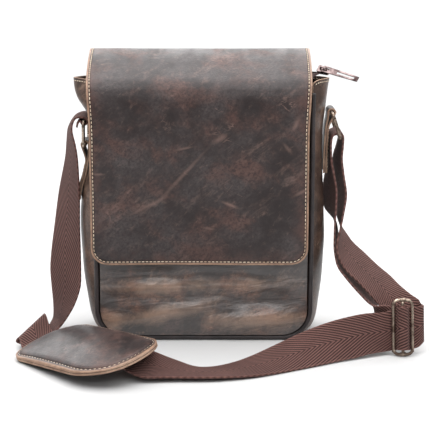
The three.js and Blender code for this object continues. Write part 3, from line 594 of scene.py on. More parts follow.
def waxed_leather(name, screen_tones, wear, inset=0, gloss=0.3, coat=0.1, ragged=0, crumple=0):
    """Leather from its deep, brown, rust and tan. In millimetres, inset is where its stitch line runs,
    ragged how far the tone of its folds strays, and crumple the depth of its small creases. The fold
    tone is partly painted light: painted highlight on fold tops, painted shade in valleys and under the flap."""
    tree = Finish(name)
    place = tree.place()
    tones = {tone: colour(*screen) for tone, screen in zip(TONES, screen_tones)}
    hide = tree.add("ShaderNodeGroup", {"Place": place, "Wear": wear, **tones}, node_tree=PULL_UP).outputs
    tone = hide["Colour"]
    normal = tree.bump(hide["Height"], 0.2, 0.6)
    if ragged:
        # Fold tone: tan where folds and creases stand high, which on the front is partly pulled paling and
        # partly painted highlight; deep where they stand low, as painted shade in the front's valleys and
        # under the flap's edge
        uneven = tree.scaled(tree.noise(place, 36, 7, 0.68, 0.5), 2 * ragged, -ragged)
        high = tree.plus(tree.attribute("ridge_and_painted_shade"), uneven)
        tone = tree.mix(tree.ramp(high, 0.2, 2.6, 0, 0.5), tone, tones["Tan"])
        tone = tree.mix(tree.ramp(high, -0.2, -2, 0, 0.6), tone, tones["Deep"])
    if crumple:
        folds = tree.noise(tree.turned(place, (0.45, 1, 1.7), (0, -8, 0)), 30, 4, 0.5, 0.6)
        normal = tree.bump(folds, crumple, Normal=normal)
    if inset:
        inputs = {"Edge": tree.attribute("edge"), "Place": place, "Inset": inset * MM}
        seam = tree.add("ShaderNodeGroup", inputs, node_tree=STITCH_LINE).outputs
        tone = tree.mix(tree.times(seam["Warm"], 0.75), tone, tones["Rust"])
        tone = tree.mix(seam["Rub"], tone, RIM_TAN)
        normal = tree.bump(tree.times(seam["Furrow"], -1), 0.9, Normal=normal)
    return tree.done({
        "Base Color": tone, "Roughness": hide["Roughness"], "Normal": normal,
        "Specular IOR Level": gloss, "Coat Weight": coat, "Coat Roughness": 0.22,
    })


def cut_edge_leather():
    """Raw tan edge, with the streaks of its layers."""
    tree = Finish("cut_edge")
    place = tree.place()
    streak = tree.noise(place, 620, 4, 0.65)
    cloud = tree.ramp(tree.noise(place, 60, 4), 0.3, 0.7)
    tone = tree.mix(cloud, colour(146, 116, 98), colour(186, 156, 134))
    tone = tree.mix(tree.ramp(streak, 0.5, 0.72, 0, 0.6), tone, colour(112, 84, 66))
    return tree.done({"Base Color": tone, "Roughness": 0.85, "Normal": tree.bump(streak, 0.3)})


def flesh_side():
    """The suede inner side of the leather."""
    tree = Finish("flesh_side")
    place = tree.place()
    nap = tree.noise(place, 900, 5, 0.7)
    cloud = tree.ramp(tree.noise(place, 30, 5, 0.6), 0.3, 0.7)
    tone = tree.mix(cloud, colour(66, 50, 42), colour(98, 76, 62))
    tone = tree.mix(tree.ramp(nap, 0.45, 0.75, 0, 0.4), tone, colour(128, 102, 84))
    return tree.done({
        "Base Color": tone, "Roughness": 0.95, "Normal": tree.bump(nap, 0.3), "Sheen Weight": 0.2,
    })


def waxed_thread():
    tree = Finish("thread")
    place = tree.place()
    slanted = tree.turned(place, (1, 1, 1), (30, 40, 20))
    twist = tree.add("ShaderNodeTexWave", {"Vector": slanted, "Scale": 520})
    soil = tree.ramp(tree.noise(place, 110, 4), 0.35, 0.7)
    tone = tree.mix(soil, colour(242, 224, 198), colour(208, 180, 152))
    normal = tree.bump(twist.outputs["Fac"], 0.1)
    return tree.done({"Base Color": tone, "Roughness": 0.7, "Normal": normal, "Sheen Weight": 0.1})


def woven(name, dark, light, width, pitch, depth):
    """Herringbone cloth, its width, the pitch of its ribs and their depth in millimetres."""
    tree = Finish(name)
    place = tree.place()
    lengths = tree.add("ShaderNodeUVMap", uv_map="lengths").outputs["UV"]
    inputs = {"Lengths": lengths, "Width": width * MM, "Pitch": pitch * MM}
    weave = tree.add("ShaderNodeGroup", inputs, node_tree=HERRINGBONE).outputs
    fuzz = tree.noise(place, 800, 3, 0.6)
    fade = tree.ramp(tree.noise(place, 25, 4), 0.3, 0.7, 0.75, 1)
    lit = tree.times(tree.scaled(weave["Yarn"], 0.25, 0.75), weave["Rib"])
    lit = tree.times(tree.scaled(fuzz, 0.5, 0.75), lit, clamp=True)
    tone = tree.mix(tree.times(lit, fade), dark, light)
    tone = tree.mix(tree.times(weave["Selvage"], 0.3), tone, light)
    height = tree.times(tree.scaled(weave["Yarn"], 0.3, 0.7), weave["Rib"])
    return tree.done({
        "Base Color": tone, "Roughness": 0.82, "Normal": tree.bump(height, depth),
        "Specular IOR Level": 0.25, "Sheen Weight": 0.04, "Sheen Roughness": 0.5,
    })


def piping_leather():
    tree = Finish("piping_leather")
    place = tree.place()
    crease = tree.noise(place, 320, 5, 0.6, 0.8)
    cloud = tree.ramp(tree.noise(place, 45, 4), 0.3, 0.72)
    return tree.done({
        "Base Color": tree.mix(cloud, colour(30, 25, 26), colour(54, 46, 47)),
        "Roughness": tree.ramp(crease, 0.3, 0.7, 0.42, 0.62), "Normal": tree.bump(crease, 0.3, 0.6),
        "Coat Weight": 0.1, "Coat Roughness": 0.4,
    })


def antique_metal(name, dark, bright, polish):
    tree = Finish(name)
    place = tree.place()
    patina = tree.ramp(tree.noise(place, 95, 6, 0.62, 0.3), 0.36, 0.66)
    speck = tree.ramp(tree.noise(place, 520, 3), 0.55, 0.72)
    tone = tree.mix(tree.times(speck, 0.5), tree.mix(patina, dark, bright), dark)
    shine = tree.ramp(patina, 0, 1, polish + 0.2, polish)
    pits = tree.bump(tree.noise(place, 640, 3), 0.06)
    return tree.done({"Base Color": tone, "Metallic": 1.0, "Roughness": shine, "Normal": pits})


DARK_HIDE = ((42, 35, 35), (71, 64, 64), (90, 65, 59), (144, 116, 106))
# Tones of the panels, pad base and keeper, raised above the flap's: partly a warmer tone of their own, partly
# painted highlight for the light the glossy front catches
FRONT_HIDE_LIT = ((52, 45, 44), (86, 74, 71), (124, 88, 72), (180, 148, 126))
# Gusset tones: a warmer leather, made lighter as painted light for the light that falls on its ears from the
# front left
SIDE_HIDE_LIT = ((58, 46, 41), (98, 80, 71), (118, 90, 75), (168, 140, 122))
FLAP_LEATHER = waxed_leather("flap_leather", DARK_HIDE, wear=0.55, inset=FLAP.inset, ragged=0.6)
# A brightened, lit copy of the flap's leather, as painted light, for the panels, the pad's base and its
# keeper
BODY_LEATHER_PAINTED_LIGHT = waxed_leather(
    "body_leather_painted_light", FRONT_HIDE_LIT, wear=0.5, gloss=0.6, coat=0.9, ragged=2.5, crumple=8,
)
# Gusset leather: a lit copy, with painted light over the whole gusset
GUSSET_LEATHER_PAINTED_LIGHT = waxed_leather("gusset_leather_painted_light", SIDE_HIDE_LIT, wear=0.9)
TAB_LEATHER = waxed_leather("tab_leather", DARK_HIDE, wear=0.6, inset=TAB.inset)
PAD_LEATHER = waxed_leather("pad_leather", DARK_HIDE, wear=0.5, inset=PAD.inset)
CUT_EDGE = cut_edge_leather()
FLESH_SIDE = flesh_side()
THREAD = waxed_thread()
WEBBING_CLOTH = woven(
    "webbing_cloth", colour(40, 21, 19), colour(132, 95, 88), width=WEBBING.width, pitch=5.6, depth=0.6,
)
TAPE_CLOTH = woven("tape_cloth", colour(42, 29, 29), colour(84, 60, 58), width=34, pitch=2.4, depth=0.2)
PIPING_LEATHER = piping_leather()
BRASS = antique_metal("antique_brass", colour(104, 88, 78), colour(218, 200, 182), polish=0.25)
ZIP_METAL = antique_metal("zip_metal", colour(64, 50, 50), colour(156, 138, 136), polish=0.28)


def sheet(bm, name, finish, thickness):
    """A leather sheet with its suede inner side and cut edge."""
    thicken(make_piece(bm, name, [finish, FLESH_SIDE, CUT_EDGE]), thickness)


# Body: panels, gusset and piping
PANEL_BOTTOM = PIPING.lift + 2 * PIPING.radius + 2 * GAP


def panel_surface(side):
    inset = PIPING.radius + 3 * GAP
    face = BODY.seam_y + LEATHER / 2

    def surface(u, v):
        z = PANEL_BOTTOM + (BODY.top - PANEL_BOTTOM) * v ** PANEL.row_ease
        half = rounded_half_width(z - PANEL_BOTTOM, BODY.half - inset, BODY.corner - inset)
        x = BODY.centre + (2 * u - 1) * half
        inside = 1 - abs((x - BODY.centre) / BODY.half) ** PANEL.seam_power
        curl = PANEL.curl * max(0, 1 - (z - PANEL_BOTTOM) / PANEL.curl_z) ** 2
        swell = PANEL.swell * gauss((z - PANEL.swell_z) / PANEL.swell_reach) - curl
        if side < 0:
            above = smoothstep(z, PANEL.fill_from, PANEL.fill_to)
            below = smoothstep(z, BODY.top, BODY.top - PANEL.fill_end)
            folds = FOLD_DEPTH * relief(FRONT_FOLDS, x, z) + wander("front", x, z * FRONT_SQUASH)
            rise = swell + PANEL.fill * above * below + folds
        else:
            rise = PANEL.back_share * swell + wander("back", x, z)
        return Vector((x, side * (face + inside * rise), z))

    return surface


def panel(name, side):
    surface = panel_surface(side)

    # Front fold tone: paler on fold tops, partly pulled paling and partly painted highlight; darker in
    # valleys as painted shade
    def ridge_and_painted_shade(u, v):
        place = surface(u, v)
        # Painted shadow below the flap's hanging edge, a dip in the front's fold tone
        shade = SHADE.tone * gauss((place.z - SHADE.z) / SHADE.reach)
        return relief(FRONT_FOLDS, place.x, place.z) + shade if side < 0 else 0

    sheet(bent_grid(surface, columns=110, rows=130, flip=side > 0, ridge_and_painted_shade=ridge_and_painted_shade), name, BODY_LEATHER_PAINTED_LIGHT, LEATHER)


def seam_route(bottom, top):
    """Seam line seen from the front: down the left side, round the base, up the right side."""
    left = BODY.centre - BODY.half
    right = BODY.centre + BODY.half
    corner = BODY.corner
    parts = 8
    turns = 12

    def arc(centre, start):
        angles = [math.radians(start + 90 * i / turns) for i in range(turns + 1)]
        return [(centre + corner * math.cos(a), bottom + corner + corner * math.sin(a)) for a in angles]

    line = [(left, top + (bottom + corner - top) * i / parts) for i in range(parts)]
    line += arc(left + corner, 180)
    line += [(left + corner + (right - left - 2 * corner) * i / parts, bottom) for i in range(1, parts)]
    line += arc(right - corner, 270)
    line += [(right, bottom + corner + (top - bottom - corner) * i / parts) for i in range(1, parts + 1)]
    return Route(line, steps=4)


def gusset():
    seam = seam_route(LEATHER / 2, GUSSET.seam_top)
    belly = Route(BELLY)

    def surface(u, v):
        across = 2 * u - 1
        bulge = 1 - abs(across) ** GUSSET.roundness
        sewn = seam.at(v)
        middle = belly.at(v)
        near_hem = smoothstep(sewn.y, HEM.low, HEM.high)
        level = bulge + (1 - abs(across) ** HEM.roundness - bulge) * near_hem
        fold = 1 - abs(across) ** (GUSSET.roundness - HEM.sharpen * near_hem)
        x = sewn.x + (middle.x - sewn.x) * fold
        edge_z = sewn.y + HEM.rise * near_hem
        z = edge_z + (middle.y - edge_z) * level
        dent = bulge * wander("gusset", x, z, across * GUSSET.uneven_y) if z > GUSSET.flat_z else 0
        half = GUSSET.seam_y - HEM.pinch * near_hem
        return Vector((x + dent, half * across, max(z, LEATHER / 2)))

    sheet(bent_grid(surface, columns=26, rows=330), "gusset", GUSSET_LEATHER_PAINTED_LIGHT, LEATHER)
    steps = 30
    margin = STITCH.hem_margin
    inset = STITCH.hem_inset / belly.length
    shares = [margin + (1 - 2 * margin) * i / steps for i in range(steps + 1)]
    lines = [[(u, hem) for u in shares] for hem in (inset, 1 - inset)]
    sew("gusset_stitches", surface, lines, STITCH.hem, LEATHER / 2, sides=(1, -1))


def piping(name, side):
    seam = seam_route(PIPING.lift + PIPING.radius, PIPING.top)

    def path(t):
        x, z = seam.at(t)
        return Vector((x, side * BODY.seam_y, z)), Vector((0, 1, 0))

    make_piece(bent_tube(path, PIPING.radius, steps=360), name, [PIPING_LEATHER])


# Flap
FLAP_SIDE = Route(FLAP_PROFILE)


def flap_wide(z):
    return FLAP.half + FLAP.flare * smoothstep(z, FLAP.flare_from, FLAP.flare_to)


def flap_half(distance, z):
    return rounded_half_width(distance, flap_wide(z), FLAP.corner)


def flap_surface(u, v):
    y, z = FLAP_SIDE.at(v)
    x = FLAP.centre + (2 * u - 1) * flap_half(v * FLAP_SIDE.length, z)
    dent = relief(FLAP_DENTS, x, z) if y < 0 else 0
    hang = smoothstep(z, FLAP.hang_from, FLAP.hang_to)
    ripple = wander("flap", x, z) + wander("flap_fine", x, z)
    wave = FLAP.wave * math.sin(x / FLAP.wave_reach) * smoothstep(z, FLAP.wave_from, FLAP.wave_to)
    return Vector((x, y - dent - hang * (ripple + wave), z + (1 - hang) * FLAP.top_ripple * ripple))


def flap_edge(u, v):
    """Distance from the flap's cut edge."""
    low = v * FLAP_SIDE.length
    z = FLAP_SIDE.at(v).y
    return from_edge(low, flap_wide(z) - abs(2 * u - 1) * flap_half(low, z), FLAP.corner)


def flap_ridge(u, v):
    place = flap_surface(u, v)
    return relief(FLAP_CREASES, place.x, place.z) if place.y < 0 else 0


def flap_stitch_line():
    """Shares of the stitch line: down the left side, round the hanging edge, up the right side."""
    length = FLAP_SIDE.length
    inner = FLAP.corner - FLAP.inset
    rows, turns, steps = 90, 12, 40
    line = []
    for i in range(rows + turns + 1):
        a = math.radians(90 * max(0, i - rows) / turns)
        low = FLAP.corner + (length - FLAP.inset - FLAP.corner) * max(0, 1 - i / rows) - inner * math.sin(a)
        z = FLAP_SIDE.at(low / length).y
        away = (flap_wide(z) if i <= rows else FLAP.half) - FLAP.corner + inner * math.cos(a)
        line.append((0.5 - away / flap_half(low, z) / 2, low / length))
    left, low = line[-1]
    middle = [(left + (1 - 2 * left) * i / steps, low) for i in range(1, steps)]
    return line + middle + [(1 - u, v) for u, v in reversed(line)]


def flap():
    bm = bent_grid(flap_surface, columns=150, rows=260, edge=flap_edge, ridge_and_painted_shade=flap_ridge)
    sheet(bm, "flap", FLAP_LEATHER, FLAP.thickness)
    line = flap_stitch_line()
    sew("flap_stitches", flap_surface, [line], STITCH.flap, FLAP.thickness / 2, sides=(1, -1))


panel("front_panel", -1)
panel("back_panel", 1)
gusset()
piping("front_piping", -1)
piping("back_piping", 1)
flap()


# Zip
RUNNER_TURN = turned_by(RUNNER.roll, RUNNER.dip, RUNNER.yaw).to_4x4()
RUNNER_PLACE = Matrix.Translation(at(RUNNER.x, 0, RUNNER.z)) @ RUNNER_TURN @ Matrix.Scale(MM, 4)


def absorb(bm, other):
    """Moves the faces of another bmesh into bm."""
    mesh = bpy.data.meshes.new("part")
    other.to_mesh(mesh)
    other.free()
    bm.from_mesh(mesh)
    bpy.data.meshes.remove(mesh)


def zip_tape(name, side):
    length = ZIP.right - ZIP.left
    width = ZIP.edge_y - ZIP.teeth_y

    def surface(u, v):
        y = ZIP.edge_y - width * u
        z = ZIP.edge_z + (ZIP.teeth_z - ZIP.edge_z) * math.sin(u * math.pi / 2)
        left = ZIP.left - ZIP.reach / 2 * u
        right = ZIP.right + ZIP.reach * u ** 2
        return Vector((left + (right - left) * v, side * y, z))

    bm = bent_grid(surface, columns=16, rows=60, flip=side < 0, size=(width, length))
    thicken(make_piece(bm, name, [TAPE_CLOTH] * 3), ZIP.thickness, rounding=0)


def zip_chain():
    bm = bmesh.new()
    shape = Matrix.Diagonal((CHAIN.tooth * MM, CHAIN.width * MM, CHAIN.height * MM, 1))
    for i in range(int(2 * (CHAIN.right - CHAIN.left) / CHAIN.pitch)):
        side = CHAIN.stagger if i % 2 else -CHAIN.stagger
        x = CHAIN.left + (i + 0.5) * CHAIN.pitch / 2
        bmesh.ops.create_cube(bm, size=1, matrix=Matrix.Translation(at(x, side, CHAIN.z)) @ shape)
    round_edges(bm, list(bm.edges), CHAIN.soft * MM, segments=1)
    make_piece(bm, "zip_chain", [ZIP_METAL], smooth=False)


def slider_plate(length, width, height, z, form):
    """A flat plate that narrows to a rounded nose."""
    bm = bmesh.new()
    bmesh.ops.create_cube(bm, size=1, matrix=Matrix.Diagonal((length, width, height, 1)))
    for vert in bm.verts:
        vert.co.y *= form.nose if vert.co.x > 0 else 1
        vert.co.z += z
    upright = [edge for edge in bm.edges if abs(edge.verts[0].co.z - edge.verts[1].co.z) > height / 2]
    round_edges(bm, upright, form.corner, segments=5)
    rims = [edge for edge in bm.edges if edge.calc_face_angle(0) > math.radians(60)]
    round_edges(bm, rims, RUNNER.soft, segments=2)
    return bm


def zip_slider():
    length, width, height = RUNNER.length, RUNNER.width, RUNNER.height
    leaf = RUNNER_LEAF.thickness
    bm = slider_plate(length, width, leaf, (height - leaf) / 2, RUNNER_LEAF)
    absorb(bm, slider_plate(length, width, leaf, (leaf - height) / 2, RUNNER_LEAF))
    post = (length * RUNNER_POST.length, width * RUNNER_POST.width, height - leaf)
    absorb(bm, slider_plate(*post, 0, RUNNER_POST))
    span = (BAIL.span - BAIL.wire) / 2
    rise = BAIL.rise - BAIL.wire / 2 + BAIL.sink

    def path(t):
        a = math.pi * (1 - t)
        place = Vector((span * math.cos(a), 0, height / 2 - BAIL.sink + rise * math.sin(a)))
        return place, Vector((0, 1, 0))

    bail = bent_tube(path, BAIL.wire / 2, steps=30, sides=12)
    bmesh.ops.scale(bail, vec=(1 / MM, BAIL.depth / BAIL.wire / MM, 1 / MM), verts=bail.verts)
    absorb(bm, bail)
    bmesh.ops.transform(bm, matrix=RUNNER_PLACE, verts=bm.verts)
    make_piece(bm, "zip_slider", [ZIP_METAL])


def zip_pull():
    cuts = [PULL_EYE.start, PULL_EYE.end, PULL_SLOT.start, PULL_SLOT.end, *PULL_BETWEEN]
    columns = sorted([-PULL_BAR.back, *cuts, PULL_BAR.length])
    rows = [-PULL_BAR.width / 2, -PULL_EYE.width / 2, -PULL_SLOT.width / 2]
    rows += [-row for row in reversed(rows)]
    bm = bmesh.new()
    bmesh.ops.create_grid(bm, x_segments=len(columns) - 1, y_segments=len(rows) - 1, size=0.5)
    for vert in bm.verts:
        vert.co.x = columns[round((vert.co.x + 0.5) * (len(columns) - 1))]
        vert.co.y = rows[round((vert.co.y + 0.5) * (len(rows) - 1))]
    holes = []
    for face in bm.faces:
        x, y, z = face.calc_center_median()
        for hole in (PULL_EYE, PULL_SLOT):
            if hole.start < x < hole.end and abs(y) < hole.width / 2:
                holes.append(face)
    bmesh.ops.delete(bm, geom=holes, context="FACES")
    narrowing = PULL_BAR.tip / PULL_BAR.width - 1
    for vert in bm.verts:
        vert.co.y *= 1 + narrowing * max(0, vert.co.x) / PULL_BAR.length
    hinge = Matrix.Translation((PULL_BAR.forward, 0, RUNNER.height / 2 + PULL_BAR.above))
    bmesh.ops.transform(bm, matrix=RUNNER_PLACE @ hinge, verts=bm.verts)
    piece = make_piece(bm, "zip_pull", [ZIP_METAL], body=PULL)
    thicken(piece, PULL_BAR.thickness)


zip_tape("zip_tape_front", -1)
zip_tape("zip_tape_back", 1)
zip_chain()
zip_slider()
zip_pull()


# Tabs and rings
def tab(name, side):
    pivot_x, pivot_z = side.pivot
    out = side.out
    profile = list(side.tab)
    for a in [math.radians(angle) for angle in TAB_FOLD]:
        profile.append((pivot_x + out * TAB.turn * math.cos(a), pivot_z + TAB.turn * math.sin(a)))
    profile += [(x + out * TAB.layer, z) for x, z in reversed(side.tab[:-1])]
    route = Route(profile)
    foot = side.tab[0][1]

    def surface(u, v):
        x, z = route.at(v)
        settle = 1 - smoothstep(z, foot, pivot_z - TAB.free)
        return Vector((x - out * TAB.bow * settle * (2 * u - 1) ** 2, (u - 0.5) * TAB.width, z))

    def edge(u, v):
        return min(u * TAB.width, (1 - u) * TAB.width, (1 - v) * route.length)

    sheet(bent_grid(surface, columns=16, rows=90, flip=out > 0, edge=edge), name, TAB_LEATHER, TAB.thickness)
    left = TAB.inset / TAB.width
    top = TAB.stitch_top
    low = 1 - TAB.inset / route.length
    corners = [(left, top), (left, low), (1 - left, low), (1 - left, top), (left, top)]
    steps = 12
    line = []
    for (u0, v0), (u1, v1) in zip(corners, corners[1:]):
        line += [(u0 + (u1 - u0) * i / steps, v0 + (v1 - v0) * i / steps) for i in range(steps)]
    sew(name + "_stitches", surface, [line], STITCH.tab, TAB.thickness / 2, sides=(-out,))


def ring(name, side):
    pivot = Vector((side.pivot[0], 0, side.pivot[1]))
    bar = Vector((side.bar[0], 0, side.bar[1]))
    down = (bar - pivot).normalized()
    middle = (pivot + bar) / 2
    loop = rounded_loop(RING.half_width, RING.drop / 2, RING.corner)
    facing = down.cross(Vector((0, 1, 0)))

    def path(t):
        across, fall = loop.at(t)
        return middle + down * fall + Vector((0, across, 0)), facing

    bm = bent_tube(path, RING.wire, steps=150, closed=True)
    make_piece(bm, name, [BRASS])


for word, side in SIDES.items():
    tab("tab_" + word, side)
    ring("ring_" + word, side)


# Slide buckle
BUCKLE_LEAN = math.radians(BUCKLE.lean)
BUCKLE_UP = Vector((0, math.sin(BUCKLE_LEAN), math.cos(BUCKLE_LEAN)))
BUCKLE_BACK = Vector((0, math.cos(BUCKLE_LEAN), -math.sin(BUCKLE_LEAN)))


def at_buckle(across, back, up):
    return BUCKLE_PLACE + Vector((across, 0, 0)) + BUCKLE_BACK * back + BUCKLE_UP * up


def strap_buckle():
    loop = rounded_loop(BUCKLE.bars, BUCKLE.half_height, BUCKLE.corner)

    def frame_path(t):
        across, up = loop.at(t)
        return at_buckle(across, 0, up), BUCKLE_BACK

    def bar_path(t):
        return at_buckle(0, 0, BUCKLE.half_height * (2 * t - 1)), BUCKLE_BACK

    def collar_path(up):
        return lambda t: (at_buckle(BUCKLE.collar * (t - 0.5), 0, up), BUCKLE_BACK)

    bm = bent_tube(frame_path, BUCKLE.wire, steps=150, closed=True)
    absorb(bm, bent_tube(bar_path, BUCKLE.wire, steps=12))
    for up in (BUCKLE.half_height, -BUCKLE.half_height):
        absorb(bm, bent_tube(collar_path(up), BUCKLE.wire + BUCKLE.collar_wall, steps=6))
    make_piece(bm, "strap_buckle", [BRASS])


strap_buckle()


# Shoulder pad, its base and the band that keeps the webbing under it
PAD_TURN = turned_by(PAD_TILT.roll, PAD_TILT.pitch, PAD_TILT.heading)
PAD_UP = PAD_TURN @ Vector((0, 0, 1))
RUN_HEADING = math.radians(RUN.heading)
RUN_ALONG = Vector((math.cos(RUN_HEADING), math.sin(RUN_HEADING), 0))
RUN_ACROSS = Vector((-RUN_ALONG.y, RUN_ALONG.x, 0))


def at_pad(along, across, above):
    return PAD_PLACE + PAD_TURN @ Vector((along, across, above))


def pad_corner(u, v):
    """The front corner at the right end is worn rounder than the others."""
    return PAD.round if u < 0.5 < v else PAD.corner


def pad_end(across):
    """Half the pad's length, which is longest in the middle of its width."""
    return PAD.length / 2 + PAD.bulge * (1 - (2 * across / PAD.width) ** 2)


def pad_outline(u, v):
    s = 2 * v - 1
    low = (1 - abs(s)) * PAD.length / 2
    across = (2 * u - 1) * rounded_half_width(low, PAD.width / 2, pad_corner(u, v))
    return s * pad_end(across), across


def pad_edge(u, v):
    """Distance from the pad's cut edge."""
    along, across = pad_outline(u, v)
    return from_edge(pad_end(across) - abs(along), PAD.width / 2 - abs(across), pad_corner(u, v))


def pad_top(u, v):
    along, across = pad_outline(u, v)
    inside = max(0, pad_edge(u, v)) - PAD.inset
    t = 2 * u - 1
    s = 2 * v - 1
    dome = PAD_DOME.rise * ((1 - t ** 2) * (1 - s ** 2)) ** PAD_DOME.power
    puff = smoothstep(inside, PAD_DOME.puff_from, PAD_DOME.puff_to)
    ripple = wander("pad", along, 0, across)
    return at_pad(along, across, PAD_DOME.edge + dome + (PAD_DOME.puff + ripple) * puff)


def pad_stitch_line():
    """Shares of the pad's stitch line, found by halving the way in from the edge."""
    line = []
    steps = 240
    for i in range(steps):
        a = 2 * math.pi * i / steps
        low, high = 0.0, 0.5 / max(abs(math.cos(a)), abs(math.sin(a)))
        for halving in range(24):
            reach = (low + high) / 2
            inside = pad_edge(0.5 + reach * math.cos(a), 0.5 + reach * math.sin(a)) > PAD.inset
            low, high = (reach, high) if inside else (low, reach)
        line.append((0.5 + low * math.cos(a), 0.5 + low * math.sin(a)))
    return line + line[:1]


def shoulder_pad():
    bm = bent_grid(pad_top, columns=64, rows=90, edge=pad_edge)
    rims = open_rims(bm)
    skirt = bmesh.ops.extrude_edge_only(bm, edges=rims)["geom"]
    for item in skirt:
        if isinstance(item, bmesh.types.BMVert):
            item.co -= PAD_UP * (PAD_DOME.edge - GAP / 2) * MM
        elif isinstance(item, bmesh.types.BMFace):
            item.material_index = 1
    rims = open_rims(bm)
    bmesh.ops.holes_fill(bm, edges=rims, sides=len(rims))
    bmesh.ops.recalc_face_normals(bm, faces=bm.faces)
    piece = make_piece(bm, "shoulder_pad", [PAD_LEATHER, CUT_EDGE])


def pad_base():
    def surface(u, v):
        along, across = pad_outline(u, v)
        return at_pad(along, across, -GAP / 2 - PAD.base / 2)

    sheet(bent_grid(surface, columns=40, rows=60), "pad_base", BODY_LEATHER_PAINTED_LIGHT, PAD.base)


def on_run(along, across, drop):
    """A place under the pad, on the straight run of the webbing."""
    plan = Vector((RUN.x, RUN.y, 0)) + RUN_ALONG * along + RUN_ACROSS * across
    tilt = (plan.x - PAD_PLACE.x) * PAD_UP.x + (plan.y - PAD_PLACE.y) * PAD_UP.y
    return Vector((plan.x, plan.y, PAD_PLACE.z - tilt / PAD_UP.z - drop))


def pad_keeper():
    def surface(u, v):
        t = 2 * u - 1
        rise = KEEPER.lift * smoothstep(abs(t), KEEPER.fold_from, 1)
        return on_run((v - 0.5) * KEEPER.length, t * KEEPER.half, KEEPER.drop - rise)

    sheet(bent_grid(surface, columns=40, rows=16), "pad_keeper", BODY_LEATHER_PAINTED_LIGHT, KEEPER.thickness)


shoulder_pad()
pad_base()
pad_keeper()
sew("pad_stitches", pad_top, [pad_stitch_line()], PAD_STITCH.pitch, PAD_STITCH.lift, thread=PAD_STITCH)


# Strap, given by the two edges of the webbing (near, far) along its way
HALF = WEBBING.width / 2
RING_WRAP = RING.wire + WEBBING.ring_gap + WEBBING.thickness / 2
BAR_WRAP = BUCKLE.wire + WEBBING.bar_gap + WEBBING.thickness / 2


def flat(x, z):
    return (x, -HALF, z), (x, HALF, z)


def around(radius, angles):
    turns = [math.radians(a) for a in angles]
    return [(radius * math.cos(a), radius * math.sin(a)) for a in turns]


def wrap_rows(bar, angles):
    return [flat(bar[0] + x, bar[1] + z) for x, z in around(RING_WRAP, angles)]


def buckle_row(across, back, low=-HALF, high=HALF):
    return at_buckle(across, back, low), at_buckle(across, back, high)


def turned(row):
    near, far = row
    return far, near


def run_row(along):
    return on_run(along, -HALF, WEBBING.under_pad), on_run(along, HALF, WEBBING.under_pad)


def bar_rows(angles):
    return [turned(buckle_row(across, back)) for across, back in around(BAR_WRAP, angles)]


